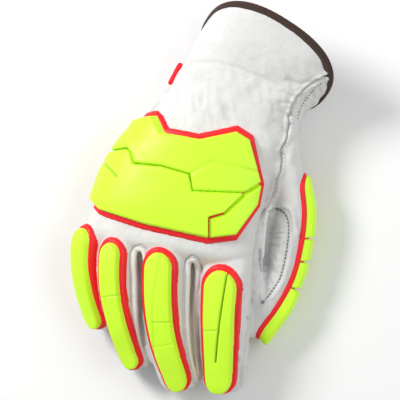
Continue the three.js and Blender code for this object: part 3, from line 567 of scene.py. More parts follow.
def fourchette(one, two, start, end, grow):
    """The strip of leather that joins two fingers' sides, as a closed body between their lines"""
    share = np.linspace(start, end, 50)
    left, right = digit_line(DIGITS[one], share * 0.97), digit_line(DIGITS[two], share)
    middle = (left + right) / 2
    beside = right - left
    beside[:, 2] = 0
    gap = np.linalg.norm(beside, axis=1)
    beside /= gap[:, None]
    turn = np.linspace(0, 2 * math.pi, 40, endpoint=False)
    taper = np.sqrt(np.clip(1 - ((share - start) / (end - start)) ** 6, 0.02, 1))
    across = (FOURCHETTE_SHARE * gap * taper + grow)[:, None] * rounded(np.cos(turn), 3)[None, :]
    up = (FOURCHETTE_HALF * taper + grow)[:, None] * rounded(np.sin(turn), 3)[None, :]
    rings = middle[:, None] + beside[:, None] * across[..., None]
    rings[..., 2] += up - FOURCHETTE_SINK
    rings[..., 2] = np.maximum(rings[..., 2], max(-grow, 0))
    return tube(rings)


def web_fold(grow):
    """The fold of leather from the index finger's side down to the thumb's gusset"""
    count = 60
    place = spline(WEB_FOLD, np.linspace(0, 1, count))
    middle = np.column_stack([drawn(place[:, :2]), place[:, 2] - WEB_FOLD_RISE])
    ahead = np.gradient(middle[:, :2], axis=0)
    ahead /= np.linalg.norm(ahead, axis=1, keepdims=True)
    beside = np.column_stack([-ahead[:, 1], ahead[:, 0], np.zeros(len(ahead))])
    turn = np.linspace(0, 2 * math.pi, 48, endpoint=False)
    taper = np.sqrt(np.clip(1 - np.abs(np.linspace(-1, 1, count)) ** 6, 0.05, 1))
    across = (WEB_FOLD_HALF * taper + grow)[:, None] * np.cos(turn)[None, :]
    up = (WEB_FOLD_RISE * taper + grow)[:, None] * np.sin(turn)[None, :]
    rings = middle[:, None] + beside[:, None] * across[..., None]
    rings[..., 2] = np.maximum(rings[..., 2] + up, max(-grow, 0))
    return tube(rings)


def glove_bodies(grow, steps, sides, past):
    index_wall = digit_body(DIGITS["index"], steps, sides, DIGIT_GAP - grow)
    bodies = [
        section_body(TRUNK, 2 * steps, 2 * sides, grow, past),
        pressed(section_body(WEB, steps, sides, grow), index_wall),
        pressed(digit_body(DIGITS["thumb"], steps, sides, grow), index_wall),
    ]
    bodies += [digit_body(digit, steps, sides, grow) for name, digit in DIGITS.items() if name != "thumb"]
    bodies += [fourchette(*pair, grow) for pair in FOURCHETTES]
    bodies.append(web_fold(grow))
    return bodies


def rim_depth(points):
    """How far each point lies inside the plane of the cuff's rim"""
    x, y, _, depth, under, heading, _, lean = TRUNK[-1]
    heading, lean = math.radians(heading), math.radians(lean)
    out = np.array([-math.sin(heading), math.cos(heading), -math.tan(lean)])
    out /= np.linalg.norm(out)
    middle = np.array([x * PALM_WIDTH, y * TRUNK_LENGTH, under + depth / 2])
    return -((points - middle) @ out)


def panel_of(points):
    """Which panel each point belongs to: 0 back, 1 palm, 2 the thumb's gusset"""
    seam = np.array(SIDE_SEAM) * (TRUNK_LENGTH, PALM_DEPTH)
    height = np.interp(points[:, 1], seam[:, 0], seam[:, 1]) + SEAM_FALL * points[:, 0]
    thumb = outline_mm(THUMB_SEAM)[::-1]
    edge = np.interp(points[:, 1], thumb[:, 1], thumb[:, 0])
    back = (points[:, 2] > height) & (points[:, 0] < edge)
    gusset = inside(points[:, :2], outline_mm(GUSSET_OUTLINE)) & (points[:, 2] > 0.12 * PALM_DEPTH)
    return np.where(gusset, 2, np.where(back, 0, 1))


# Seams of the leather on the drawing sheet
SIDE_SEAM_LINE = [
    (329, 75), (322.9, 78.1), (314, 82.6), (303.9, 89.3), (295, 98.2), (290.5, 107.1), (288.3, 118.3),
    (288.3, 129), (285.5, 140), (280, 150), (281.5, 161), (280, 172), (275.5, 180), (274.5, 189.7),
    (270.3, 200.6), (264.2, 209), (258.2, 220), (256.4, 232), (254, 247.8), (253.3, 264.8),
    (252, 283), (248.5, 310.8), (246.7, 315.6), (247.9, 320.6), (245.4, 333), (243, 352.2),
    (241, 369), (239.5, 391),
]
CUFF_STITCH_LINE = [(321, 83.5), (314, 89.3), (309.5, 94.9), (304, 101.5), (299.5, 110), (297, 121)]
GUSSET_RING = [
    (265.4, 207.9), (275.1, 206), (284.8, 206), (290.9, 209.7), (293.6, 216.3), (294.8, 226), (297.5, 234),
]
GUSSET_SEAM = [
    (276, 209), (280, 210.3), (284.8, 213.9), (287.8, 220), (289, 228.5), (288.4, 237), (287.2, 247.8),
    (285.4, 258.8), (283, 269.7), (280.6, 278.1), (276.3, 285.4), (270.3, 293.9), (264.2, 301.2),
]
# The gusset's hollow, and the slots between the rolled seams of the fingers
GUSSET_HOLLOW = [
    (272.7, 214), (277, 210.5), (281, 211.5), (285.5, 216), (288, 225), (288, 237), (286.8, 248),
    (284.6, 259), (282, 270.5), (278.5, 276.5), (274, 270.5), (268.5, 264), (264.5, 256),
    (264.6, 248), (266.5, 240), (269.2, 228.5),
]
FINGER_SLOTS = [
    [(139.6, 254), (139.2, 264), (138.6, 277), (138.3, 295), (139.5, 320), (144, 345)],
    [(192.8, 264), (192.6, 276), (191.2, 295), (190.4, 320), (191.8, 345), (194.5, 366)],
]
# Rolls and furrows of the leather: line, height, half its width, and darkening, which is painted shade in
# the furrows and, where negative, a painted highlight on the rolls
LEATHER_STROKES = [
    (GUSSET_RING, 1.2, 1.1, -0.04),
    ([(265, 211), (274, 209), (284, 209), (289, 212), (291.2, 219), (292.4, 229), (293, 236)],
     -0.5, 0.7, 0.12),
    ([(297, 210), (299.5, 222), (300, 236), (296, 254), (290, 272)], -0.35, 1.4, 0.03),
    (GUSSET_SEAM, -1.3, 0.6, 0.26),
    ([(292, 236), (291, 250), (288.5, 264), (285.5, 277), (280, 288), (272, 298)], 0.6, 1.3, 0.0),
    ([(267.5, 209), (265.4, 225), (263.2, 240), (261.8, 256)], 1.5, 1.7, -0.2),
    ([(261, 264), (261.6, 282), (262.2, 299)], 0.9, 1.2, -0.12),
    ([(259.6, 250), (260, 262), (261.4, 271)], -1.8, 0.55, 0.5),
    ([(258.5, 222), (261, 219)], -0.6, 0.5, 0.08),
    ([(258, 226), (262, 223)], -0.6, 0.5, 0.08),
    ([(267, 275), (271, 282), (274, 289)], -0.5, 0.8, 0.05),
    ([(264.5, 278), (266, 288), (266, 297)], -0.5, 0.9, 0.05),
    ([(271, 229), (284, 228)], -0.8, 0.45, 0.1),
    ([(270.5, 234), (284, 232.5)], -0.9, 0.5, 0.1),
    ([(270, 238.5), (283, 238)], -0.8, 0.5, 0.1),
    ([(270, 244), (280, 246)], -0.7, 0.55, 0.08),
    ([(270, 252), (276, 258), (279, 268)], -0.5, 0.8, 0.04),
    ([(286, 82), (300, 85.5), (316, 82.5)], -0.8, 1.8, 0.03),
    ([(280, 92), (292, 97.5)], -0.6, 1.2, 0.03),
    ([(279, 103), (290, 103)], -0.5, 1.0, 0.03),
    ([(277, 111), (288, 116)], -0.5, 1.0, 0.03),
    ([(276, 122), (287, 131)], -0.55, 1.3, 0.02),
    ([(290, 101), (299, 95), (309, 87)], 0.6, 1.2, 0.0),
    ([(292, 121), (296, 132), (295, 146), (290, 160)], 0.5, 2.2, 0.0),
    ([(184.5, 65), (200, 63.5), (215, 64), (240, 70), (262, 79), (277, 87)], -0.35, 1.3, 0.02),
    ([(246.5, 317.5), (250, 318.5)], -0.9, 0.6, 0.2),
    ([(249, 321), (250.5, 330), (250, 339)], 0.5, 1.6, 0.0),
    ([(238, 352), (243, 362), (244, 376)], 0.6, 1.6, 0.0),
    ([(236, 371), (244, 368)], -0.7, 1.0, 0.06),
    ([(234, 385), (241, 383)], -0.6, 0.9, 0.06),
]


# Unevenness of all the leather: height, size of a bump and seed
GRAIN_LAYERS = [(0.16, 9.0, 1), (0.1, 4.2, 2), (0.05, 2.1, 12)]
# Gathers at the wrist: height, squeeze along x, y and z, size and seed
GATHER_LAYERS = [(1.0, (1.0, 0.22, 0.6), 4.6, 4), (0.6, (1.0, 0.4, 0.6), 2.6, 5),
                 (0.8, (0.6, 0.5, 0.4), 7.5, 14)]
GATHER_HEADING = (0.94, 0.34)
# Section of the side seam, a furrow between two rolls: height, distance to the right, half width
SEAM_SECTION = [(0.8, -1.2, 1.0), (-1.15, 0.1, 0.6), (0.6, 1.8, 1.3)]
# painted shade in the slots between the rolled seams
SLOT_STROKES = [(line, 0.0, 1.5, 0.14) for line in FINGER_SLOTS]
FAR_LEFT = -300
WELT_HALF = 2.5


def hollows(points):
    """How far the leather is sunk: the thumb's gusset and the slots between the fingers"""
    plan = points[:, :2]
    upper = np.clip((points[:, 2] - 5.0) / 3.0, 0, 1)
    floor = np.clip(outline_depth(plan, drawn(GUSSET_HOLLOW)) / 4.0, 0, 1)
    around = np.clip(outline_depth(plan, outline_mm(GUSSET_OUTLINE)) / 2.0, 0, 1)
    sunk = (1.2 * around - 2.4 * floor) * upper
    for line in FINGER_SLOTS:
        gap, place = segment_distance(plan, drawn(line))
        sunk += (3.2 - 1.5 * place) * bell(gap, 1.7) * upper
    return sunk


def wrist_gathers(points):
    """Folds gathered at the wrist: their height, and how strong they are at each point"""
    x, y, z = points.T
    cosine, sine = GATHER_HEADING
    turned = np.column_stack([x * cosine + y * sine, y * cosine - x * sine, z])
    gathers = sum(high * noise(turned * squeeze, size, seed) for high, squeeze, size, seed in GATHER_LAYERS)
    return gathers, bell(y - 0.75 * TRUNK_LENGTH, 0.15 * TRUNK_LENGTH)


def side_seam(points, facing):
    """The seam from the cuff down to the index finger, and the painted shade in its furrow. The index
    finger's side panel, right of the seam, is painted greyer than its back, a painted shade for the side
    turned from the light."""
    plan = points[:, :2]
    line = drawn(SIDE_SEAM_LINE)
    gap, place = segment_distance(plan, line)
    left = inside(plan, np.vstack([line, [(FAR_LEFT, line[-1][1]), (FAR_LEFT, line[0][1])]]))
    signed = np.where(left, -gap, gap)
    strength = facing * np.clip((0.66 - place) * 9, 0.45, 1)
    height = strength * sum(high * bell(signed - at, width) for high, at, width in SEAM_SECTION)
    height += 0.75 * strength * bell(signed, 3.4) * noise(points, 3.2, 16)
    # painted shade in the seam's furrow, then on the side panel
    dark = 0.28 * strength * bell(signed - 0.1, 0.65)
    dark += 0.07 * np.clip(signed / 1.5, 0, 1) * np.clip((place - 0.72) * 20, 0, 1) * (gap < 14)
    return height, dark


def gusset_folds(points):
    """Creases across the thumb's gusset, and where they are"""
    x, y, z = points.T
    deep = np.clip(outline_depth(points[:, :2], outline_mm(GUSSET_OUTLINE)) / 2.5, 0, 1)
    return noise(np.column_stack([0.25 * x, y + 0.2 * x, 0.2 * z]), 2.3, 6), deep


def leather_relief(points, normals):
    """Height of the folds, seams and creases above the plain leather, and its shade: random tone with
    painted shade and painted highlight
    """
    plan = points[:, :2]
    facing = np.clip(normals[:, 2] * 2.2 + 0.1, 0, 1)
    height = sum(high * noise(points, size, seed) for high, size, seed in GRAIN_LAYERS)
    shade = 1 + 0.025 * noise(points, 16.0, 3)
    gathers, wrist = wrist_gathers(points)
    height += sizes().wrinkle / MM * wrist * gathers
    # painted shade in the hollows of the gathers
    shade -= 0.05 * np.clip(-gathers, 0, 2) * wrist
    # painted shade: the sides, turned away from the light above, are painted greyer
    shade -= 0.16 * (1 - np.clip(normals[:, 2], 0, 1)) ** 2
    # creases of the fingers' leather
    fingers = bell(points[:, 1] + 0.55 * TRUNK_LENGTH, 0.42 * TRUNK_LENGTH)
    height += 0.32 * fingers * noise(points * (0.5, 1.0, 0.7), 3.4, 15)
    seam, dark = side_seam(points, facing)
    height += seam
    shade -= dark
    folds, deep = gusset_folds(points)
    height += 0.65 * deep * folds - hollows(points)
    # painted light: the gusset's hollow is painted a little lighter
    shade += 0.03 * deep
    # painted shade in the furrows and slots, painted highlight where the darkening is negative
    for line, rise, width, dark in LEATHER_STROKES + SLOT_STROKES:
        gap, _ = segment_distance(plan, drawn(line))
        height += rise * bell(gap, width) * facing
        shade -= dark * bell(gap, width * 1.1) * facing
    # a furrow along each side of the rolled seams between the fingers, with painted shade in it
    for line in WELT_LINES.values():
        gap, _ = segment_distance(plan, drawn(line))
        height -= 0.6 * bell(gap - WELT_HALF, 0.5)
        shade -= 0.26 * bell(gap - WELT_HALF, 0.5)
    return height, shade


LEATHER_PIECES = (("back_leather", "back_panel", "white_leather"),
                  ("palm_leather", "palm_panel", "white_leather"),
                  ("gusset_leather", "thumb_gusset", "gusset_leather"))
# painted shade: the lining, inside the glove, is painted darker
LINING_SHADE = 0.8


class GLOVE_OT_leather(bpy.types.Operator):
    """Build the leather panels and their lining"""

    bl_idname = "glove.leather"
    bl_label = "Leather panels"

    def execute(self, context):
        cell = sizes().leather_cell / MM
        points, faces, shade = self.outer_skin(cell)
        lining, lining_faces = self.lining(2 * cell)
        middle = points[faces].mean(axis=1)
        lining_middle = lining[lining_faces].mean(axis=1)
        kinds, lining_kinds = panel_of(middle), panel_of(lining_middle)
        open_outer, open_lining = rim_depth(middle) > 0.5, rim_depth(lining_middle) > 0.5
        for kind, (name, node, slot) in enumerate(LEATHER_PIECES):
            outer, outer_faces, tone = picked(points, faces, (kinds == kind) & open_outer, shade)
            inner, inner_faces = picked(lining, lining_faces, (lining_kinds == kind) & open_lining)
            piece = mesh_object(name, np.vstack([outer, inner]),
                                np.vstack([outer_faces, inner_faces + len(outer)]),
                                np.concatenate([tone, np.full(len(inner), LINING_SHADE)]))
            finish_piece(piece, leather_finish(slot == "gusset_leather"), [node])
        return {"FINISHED"}

    def outer_skin(self, cell):
        points, faces = skin_of(glove_bodies(0.0, 70, 110, 8.0), cell)
        if not len(points):
            raise RuntimeError("the leather's skin is empty")
        points = relax(points, faces, 7)
        normals = normals_of(points, faces)
        height, shade = leather_relief(points, normals)
        points = points + normals * height[:, None]
        points[:, 2] = np.maximum(points[:, 2], 0)
        return points, faces, shade

    def lining(self, cell):
        points, faces = skin_of(glove_bodies(-LEATHER, 40, 60, 14.0), cell)
        points = relax(points, faces, 3)
        points -= normals_of(points, faces) * hollows(points)[:, None]
        return points, faces[:, ::-1]


# Moulded guards

def edge_profile(depth, radius):
    """Share of its height that a moulded layer has at a depth inside its edge"""
    t = np.clip(depth / radius, 0, 1)
    return np.sqrt(np.clip(1 - (1 - t) ** 2, 0, 1))


def base_height(depth):
    """Height of a red base above the leather at a depth inside its edge"""
    top = BASE_RIM + (BASE_TOP - BASE_RIM) * edge_profile(depth, 0.9)
    return np.where(depth > 0, top, BASE_RIM + depth)


def pad_height(depth, rise):
    """Height of a yellow pad above the leather, from its rise above its base"""
    skirt = np.maximum(SKIRT_SLOPE * depth, -PAD_SKIRT)
    return BASE_TOP + np.where(depth > 0, np.maximum(rise, -PAD_SKIRT), skirt)


def layer(name, place, depth, height, sunk, keep=None, shade=None):
    """A moulded layer over a lattice: its top at the height given, its foot sunk in what
    carries it. Only the quads that lie inside the outline are kept."""
    rows, columns = depth.shape
    faces = lattice_faces(rows, columns)
    flat_depth = depth.ravel()
    wanted = flat_depth[faces].max(axis=1) > -0.35
    if keep is not None:
        wanted &= keep.ravel()[faces].all(axis=1)
    top = place(height).reshape(-1, 3)
    foot = place(np.full(depth.shape, sunk)).reshape(-1, 3)
    tone = np.ones(len(top)) if shade is None else shade.ravel()
    used = faces[wanted]
    edges = np.vstack([used[:, [k, (k + 1) % 4]] for k in range(4)])
    ordered = np.sort(edges, axis=1)
    keys = ordered[:, 0] * (len(top) + 1) + ordered[:, 1]
    _, first, counts = np.unique(keys, return_index=True, return_counts=True)
    rim = edges[first[counts == 1]]
    count = len(top)
    walls = np.column_stack([rim[:, 1], rim[:, 0], rim[:, 0] + count, rim[:, 1] + count])
    everything = np.vstack([used, used[:, ::-1] + count, walls])
    points, everything, tone = picked(np.vstack([top, foot]), everything, slice(None),
                                      np.concatenate([tone, tone]))
    middle = points[everything[0]].mean(axis=0)
    normal = np.cross(points[everything[0][2]] - points[everything[0][0]],
                      points[everything[0][3]] - points[everything[0][1]])
    raised = place(height + 1.0).reshape(-1, 3)[used[0]].mean(axis=0)
    if normal @ (raised - middle) < 0:
        everything = everything[:, ::-1]
    return mesh_object(name, points, everything, tone)


def back_lattice(cell):
    """Where the back guard can lie: positions along the trunk and round it, evenly spaced"""
    angle = np.linspace(math.radians(2), math.radians(205), 900)
    ring = section_surface(TRUNK, np.full(900, 0.36), angle, 3.0)
    run = np.concatenate([[0], np.cumsum(np.linalg.norm(np.diff(ring, axis=0), axis=1))])
    around = np.interp(np.arange(0, run[-1], cell), run, angle)
    t = np.linspace(0.02, 0.86, 900)
    line = section_surface(TRUNK, t, np.full(900, math.pi / 2), 3.0)
    run = np.concatenate([[0], np.cumsum(np.linalg.norm(np.diff(line, axis=0), axis=1))])
    along = np.interp(np.arange(0, run[-1], cell), run, t)
    return np.meshgrid(along, around, indexing="ij")


def trunk_place(t, angle):
    """A function that gives the trunk's points at a height above the leather"""
    def place(height):
        return section_surface(TRUNK, t, angle, height)

    return place


def back_depth(points):
    """Depth inside the back guard's outline and above its hem"""
    flat = points.reshape(-1, 3)
    depth = outline_depth(flat[:, :2], outline_mm(BACK_OUTLINE))
    return np.minimum(depth, flat[:, 2] - PLATE_HEM).reshape(points.shape[:-1])


def red_piece(piece, node):
    finish_piece(piece, rubber_finish("red_rubber", colours().red, RED_PAINTED_GLOW), [node])


def yellow_piece(piece, node):
    finish = rubber_finish("yellow_rubber", colours().yellow, YELLOW_PAINTED_GLOW)
    finish_piece(piece, finish, [node])


# Ridges and creases moulded in the plates, in the same columns as the pads' creases; the last column is
# painted shade in them
PLATE_CREASES = [
    ([(105, 161), (120, 177)], 1.8, 0.52, 0.65),
    ([(99, 183), (98.5, 192)], 0.7, 0.8, 0.1),
    ([(191, 173.5), (212, 162), (253, 172)], 0.55, 1.5, 0.05),
    ([(136.5, 117), (133, 151)], -0.45, 1.6, 0.0),
    ([(131, 118), (127.5, 148)], 0.3, 1.2, 0.03),
]


class GLOVE_OT_back_guard(bpy.types.Operator):
    """Build the guard on the back of the hand: a red base under three yellow plates"""

    bl_idname = "glove.back_guard"
    bl_label = "Back guard"

    def execute(self, context):
        self.base()
        self.plates()
        return {"FINISHED"}

    def base(self):
        place = trunk_place(*back_lattice(1.3 * sizes().guard_cell / MM))
        depth = back_depth(place(BASE_TOP))
        red_piece(layer("back_guard_red_base", place, depth, base_height(depth), -BASE_SINK),
                  "back_guard_base")

    def plates(self):
        place = trunk_place(*back_lattice(sizes().guard_cell / MM))
        at = place(BASE_TOP + 2.0)
        grid = at.shape[:2]
        flat = at.reshape(-1, 3)
        plan = flat[:, :2]
        depth = back_depth(at) - BORDER
        rise = (PLATE_THICKNESS + CLEARANCE) * edge_profile(depth, sizes().edge_radius / MM)
        sunk, dark = self.creases(plan)
        rise += (0.05 * noise(flat, 5.0, 8) - sunk).reshape(grid)
        cut, _ = segment_distance(plan, outline_mm(CORNER_GROOVE))
        wall = PLATE_THICKNESS * np.clip((cut.reshape(grid) - 0.75) / 0.55, -0.2, 1)
        rise = np.where(cut.reshape(grid) < 1.4, np.minimum(rise, wall), rise)
        height = pad_height(depth, rise)
        corner = outline_mm(CORNER_GROOVE + [(0.9, -0.1), (0.9, 0.43)])
        upper = outline_mm(BACK_GROOVE + [(0.544, 0.338), (0.7, 0.43), (0.7, 1.2), (-0.7, 1.2)])
        in_corner = inside(plan, corner).reshape(grid)
        in_upper = inside(plan, upper).reshape(grid) & ~in_corner
        for side, own in (("corner", in_corner), ("upper", in_upper),
                          ("lower", ~in_corner & ~in_upper)):
            grown = own.copy()
            grown[1:] |= own[:-1]
            grown[:, 1:] |= own[:, :-1]
            piece = layer(f"back_plate_yellow_{side}", place, depth, height, BASE_TOP - PAD_SINK,
                          grown, 1 - dark.reshape(grid))
            yellow_piece(piece, f"back_plate_{side}")

    def creases(self, plan):
        """How far the plates are sunk by their groove and creases, and the painted shade that darkens these
        """
        groove, run = segment_distance(plan, outline_mm(BACK_GROOVE))
        sunk = 2.6 * bell(groove, 0.52) + 0.5 * bell(groove, 1.4)
        # painted shade along the groove
        dark = np.where(run < 0.72, 0.5, 0.22) * bell(groove, 0.5)
        for line, deep, width, painted_shade in PLATE_CREASES:
            gap, _ = segment_distance(plan, drawn(line))
            sunk += deep * bell(gap, width)
            dark += painted_shade * bell(gap, width)
        return sunk, dark


def guard_lattice(digit, cell):
    """Places of a digit's guard: millimetres along it and across it"""
    start, end, half, _ = digit["guard"]
    margin = 1.2
    along = np.arange(start * digit["length"] - margin, end * digit["length"] + margin, cell)
    limit = 0.995 * (digit["width"] / 2 + 1.0)
    side = np.arange(0, min(half * digit["width"] + margin, limit), cell)
    across = np.concatenate([-side[:0:-1], side])
    return np.meshgrid(along, across, indexing="ij")


def guard_place(digit, along, across):
    lean = math.radians(digit["guard"][3])

    def place(height):
        share = np.minimum(np.abs(across) / (digit["width"] / 2 + np.maximum(height, 0.1)), 0.999)
        angle = np.sign(across) * np.arcsin(share ** (DIGIT_POWER / 2)) - lean
        return digit_surface(digit, np.minimum(along / digit["length"], 0.9995), angle, height)

    return place


def guard_depth(name, along, across, inset):
    """Depth inside the outline of a digit's guard, drawn in by an inset: a bar that narrows
    towards the tip, with a round end at the root and a blunter one at the tip"""
    digit = DIGITS[name]
    start, end, half, _ = digit["guard"]
    half *= digit["width"]
    shift = THUMB_GUARD_TURN if name == "thumb" else 0.0
    across = (across - shift) / (1 - DIGIT_TAPERS[name] * (along / digit["length"]) ** 2)
    first, last = start * digit["length"] + half, end * digit["length"] - half
    root = np.hypot(np.maximum(first - along, 0), across)
    tip = (np.maximum(along - last, 0) ** 3 + np.abs(across) ** 3) ** (1 / 3)
    return half - inset - np.where(along > last, tip, root)


# Creases moulded in the pads, on the drawing sheet: line, depth, half its width, and the painted shade that
# darkens the crease
PAD_CREASES = {
    "little": [([(86, 283), (97, 283)], 0.7, 0.45, 0.12)],
    "ring": [([(102, 297), (122, 294)], 0.8, 0.45, 0.15)],
    "middle": [([(161, 258), (156, 283), (153, 312), (155, 353)], 0.8, 0.8, 0.1),
               ([(153, 321.5), (170, 321)], 0.9, 0.4, 0.18), ([(151, 347), (172, 343)], 0.4, 0.5, 0.04)],
    "index": [([(226.7, 272), (222.6, 297), (219.2, 321), (217, 341), (215.4, 361.5)], 3.2, 0.46, 0.85),
              ([(203, 330.5), (217, 329.5)], 0.8, 0.45, 0.12)],
}


class GLOVE_OT_digit_guards(bpy.types.Operator):
    """Build the guards on the fingers and the thumb"""

    bl_idname = "glove.digit_guards"
    bl_label = "Finger and thumb guards"

    def execute(self, context):
        for name, digit in DIGITS.items():
            self.base(name, digit)
            if name == "thumb":
                self.thumb_blocks(digit)
            else:
                self.finger_pad(name, digit)
        return {"FINISHED"}

    def base(self, name, digit):
        along, across = guard_lattice(digit, 1.2 * sizes().guard_cell / MM)
        depth = guard_depth(name, along, across, THUMB_BASE_INSET if name == "thumb" else 0.0)
        place = guard_place(digit, along, across)
        red_piece(layer(f"{name}_guard_red_base", place, depth, base_height(depth), -BASE_SINK),
                  f"{name}_guard_base")

    def pad(self, name, digit):
        """A digit's whole pad: its places along the digit and at a height, its depth, its rise above the
        base and the painted shade of its creases"""
        along, across = guard_lattice(digit, sizes().guard_cell / MM)
        place = guard_place(digit, along, across)
        depth = guard_depth(name, along, across, DIGIT_BORDERS[name])
        rise = (PAD_THICKNESS + CLEARANCE) * edge_profile(depth, sizes().edge_radius / MM)
        flat = place(np.full(depth.shape, BASE_TOP + 3.0)).reshape(-1, 3)
        rise += 0.05 * noise(flat, 5.0, 9).reshape(depth.shape)
        tone = np.ones(depth.shape)
        for line, deep, width, dark in PAD_CREASES.get(name, ()):
            gap, _ = segment_distance(flat[:, :2], drawn(line))
            cut = bell(gap, width).reshape(depth.shape)
            rise -= deep * cut
            # painted shade darkens each crease
            tone -= dark * cut
        return along, place, depth, rise, tone

    def finger_pad(self, name, digit):
        _, place, depth, rise, tone = self.pad(name, digit)
        piece = layer(f"{name}_guard_yellow_pad", place, depth, pad_height(depth, rise),
                      BASE_TOP - PAD_SINK, None, tone)
        yellow_piece(piece, f"{name}_guard_pad")

    def thumb_blocks(self, digit):
        """The thumb's pad in blocks: low at its root, and raised at its tip"""
        along, place, depth, rise, _ = self.pad("thumb", digit)
        start, end, _, _ = digit["guard"]
        share = (along / digit["length"] - start) / (end - start)
        rise *= 0.35 + 0.65 * np.clip(share / 0.2, 0, 1) ** 0.7
        rise += np.where(depth > 0, THUMB_TIP_RISE * np.clip((share - 0.6) / 0.15, 0, 1), 0)
        first = start * digit["length"] + BORDER
        run = end * digit["length"] - BORDER - first
        ends = [-math.inf, *(first + cut * run for cut in THUMB_CUTS), math.inf]
        tops = [PAD_THICKNESS + CLEARANCE] * len(THUMB_CUTS)
        tops.append(PAD_THICKNESS + CLEARANCE + THUMB_TIP_RISE)
        for i, top in enumerate(tops):
            own = np.minimum(along - ends[i], ends[i + 1] - along) - THUMB_CUT_HALF
            block = np.minimum(depth, own)
            height = pad_height(block, np.minimum(rise, top * edge_profile(block, 1.1)))
            piece = layer(f"thumb_guard_yellow_block_{i + 1}", place, block, height,
                          BASE_TOP - PAD_SINK)
            yellow_piece(piece, f"thumb_guard_block_{i + 1}")


# Trim

# Middle lines of the rolled seams between the fingers, on the drawing sheet
WELT_LINES = {
    "ring_middle_welt": [
        (145.3, 366), (139.2, 344.4), (136.4, 324.3), (135.4, 306.4), (135, 293), (134.9, 277.4),
        (134.1, 264), (134.2, 255), (136.6, 249.8), (140.5, 248.6), (144.2, 252), (145.6, 261), (145.6, 274),
    ],
    "middle_index_welt": [
        (196.5, 381), (192, 365), (188.6, 346), (187, 325), (187, 300), (187.6, 280), (187.8, 268),
        (189, 261.8), (192.6, 258.8), (196.2, 261.8), (197.8, 269), (197, 284), (195.2, 300),
        (194.3, 315), (194.3, 335), (195.5, 358), (198, 376),
    ],
}


def leather_trees():
    """Search trees of the leather pieces, for finding their height"""
    trees = []
    for name in ("back_leather", "palm_leather", "gusset_leather"):
        mesh = bpy.data.objects[name].data
        points = [v.co.copy() for v in mesh.vertices]
        trees.append(BVHTree.FromPolygons(points, [tuple(p.vertices) for p in mesh.polygons]))
    return trees


class GLOVE_OT_trim(bpy.types.Operator):
    """Build the cuff's binding tape, the wrist tab and the rolled seams between the fingers"""

    bl_idname = "glove.trim"
    bl_label = "Binding, tab and welts"

    def execute(self, context):
        self.binding()
        self.tab()
        trees = leather_trees()
        for name, line in WELT_LINES.items():
            self.welt(name, line, trees)
        return {"FINISHED"}

    def binding(self):
        heading = math.radians(TRUNK[-1][5])
        out = np.array([-math.sin(heading), math.cos(heading), 0.0])
        inner, outer = -LEATHER - 1.3, 1.45
        middle, half = (inner + outer) / 2, (outer - inner) / 2
        # the tape's section: height above the leather, and distance past the rim
        profile = [(outer - 0.5, -3.15), (outer - 0.12, -3.1), (outer, -2.8),
                   (outer + 0.05, -1.9), (outer, -0.8)]
        for turn in np.radians(np.linspace(0, 180, 11)[1:-1]):
            profile.append((middle + half * math.cos(turn), 1.5 * math.sin(turn) - 0.1))
        profile += [(inner, -0.8), (inner - 0.05, -2.5), (inner, -4.0), (inner + 0.12, -4.3),
                    (inner + 0.5, -4.35)]
        profile = np.array(profile)
        count = sizes().tape_ribs
        angle = np.linspace(0, 2 * math.pi, count, endpoint=False)[:, None]
        rim = section_surface(TRUNK, 1.0, angle, profile[None, :, 0])
        before = section_surface(TRUNK, 0.9, angle, profile[None, :, 0])
        back = before - rim
        back /= np.linalg.norm(back, axis=-1, keepdims=True)
        along = profile[None, :, 1:]
        points = np.where(along > 0, rim + out * along, rim - back * along)
        points[..., 2] = np.maximum(points[..., 2], 0.0)
        wave = 0.05 * np.sin(np.arange(count) * 2 * math.pi / 5)
        points += (points - points.mean(axis=1, keepdims=True)) * wave[:, None, None] * 0.3
        faces = lattice_faces(*points.shape[:2], loop=True, closed=True)
        faces = np.roll(faces[:, ::-1], 1, axis=1)
        piece = mesh_object("cuff_binding_tape", points.reshape(-1, 3), faces)
        finish_piece(piece, tape_finish(), ["cuff_binding"])

    def tab(self):
        steps, ring = 28, 24
        t = np.linspace(0.745, 0.825, steps)
        turn = np.linspace(0, 2 * math.pi, ring, endpoint=False)
        swell = np.sqrt(np.clip(1 - np.abs(np.linspace(-1, 1, steps)) ** 6, 0.02, 1))
        across = rounded(np.cos(turn), 4)
        up = rounded(np.sin(turn), 4)
        angle = np.radians(178 + 4 * across[None, :] * swell[:, None])
        grow = 1.3 + 2.0 * up[None, :] * swell[:, None]
        points, faces = tube(section_surface(TRUNK, t[:, None], angle, grow))
        piece = mesh_object("wrist_tab_red", points, faces)
        red_piece(piece, "wrist_tab")

    def welt(self, name, line, trees):
        count = 150
        middle = spline(drawn(line), np.linspace(0, 1, count))
        tops = []
        for x, y in middle:
            tops.append(max(surface_height(x + side, y, trees) for side in (-2.4, -1.2, 0, 1.2, 2.4)))
        kernel = np.hanning(25)
        tops = np.convolve(np.pad(tops, 12, mode="edge"), kernel / kernel.sum(), mode="valid")
        run = np.abs(np.linspace(-1, 1, count))
        middle = np.column_stack([middle, tops - 0.9 - 0.5 * run])
        ahead = np.gradient(middle, axis=0)
        ahead /= np.linalg.norm(ahead, axis=1, keepdims=True)
        beside = np.column_stack([-ahead[:, 1], ahead[:, 0], np.zeros(count)])
        beside /= np.linalg.norm(beside, axis=1, keepdims=True)
        above = np.cross(ahead, beside)
        turn = np.linspace(0, 2 * math.pi, 16, endpoint=False)
        ends = np.clip(np.minimum(np.arange(count), np.arange(count)[::-1]) / 8, 0, 1)
        radius = (2.15 - 0.75 * run) * np.sqrt(np.clip(1 - (1 - ends) ** 2, 0.02, 1))
        radius *= 1 + 0.07 * noise(middle, 4.0, 11)
        rings = (middle[:, None] + radius[:, None, None] * (beside[:, None] * np.cos(turn)[None, :, None]
                                                            + above[:, None] * np.sin(turn)[None, :, None]))
        points, faces = tube(rings)
        piece = mesh_object(f"{name}_roll", points, faces)
        finish_piece(piece, leather_finish(False), [name])


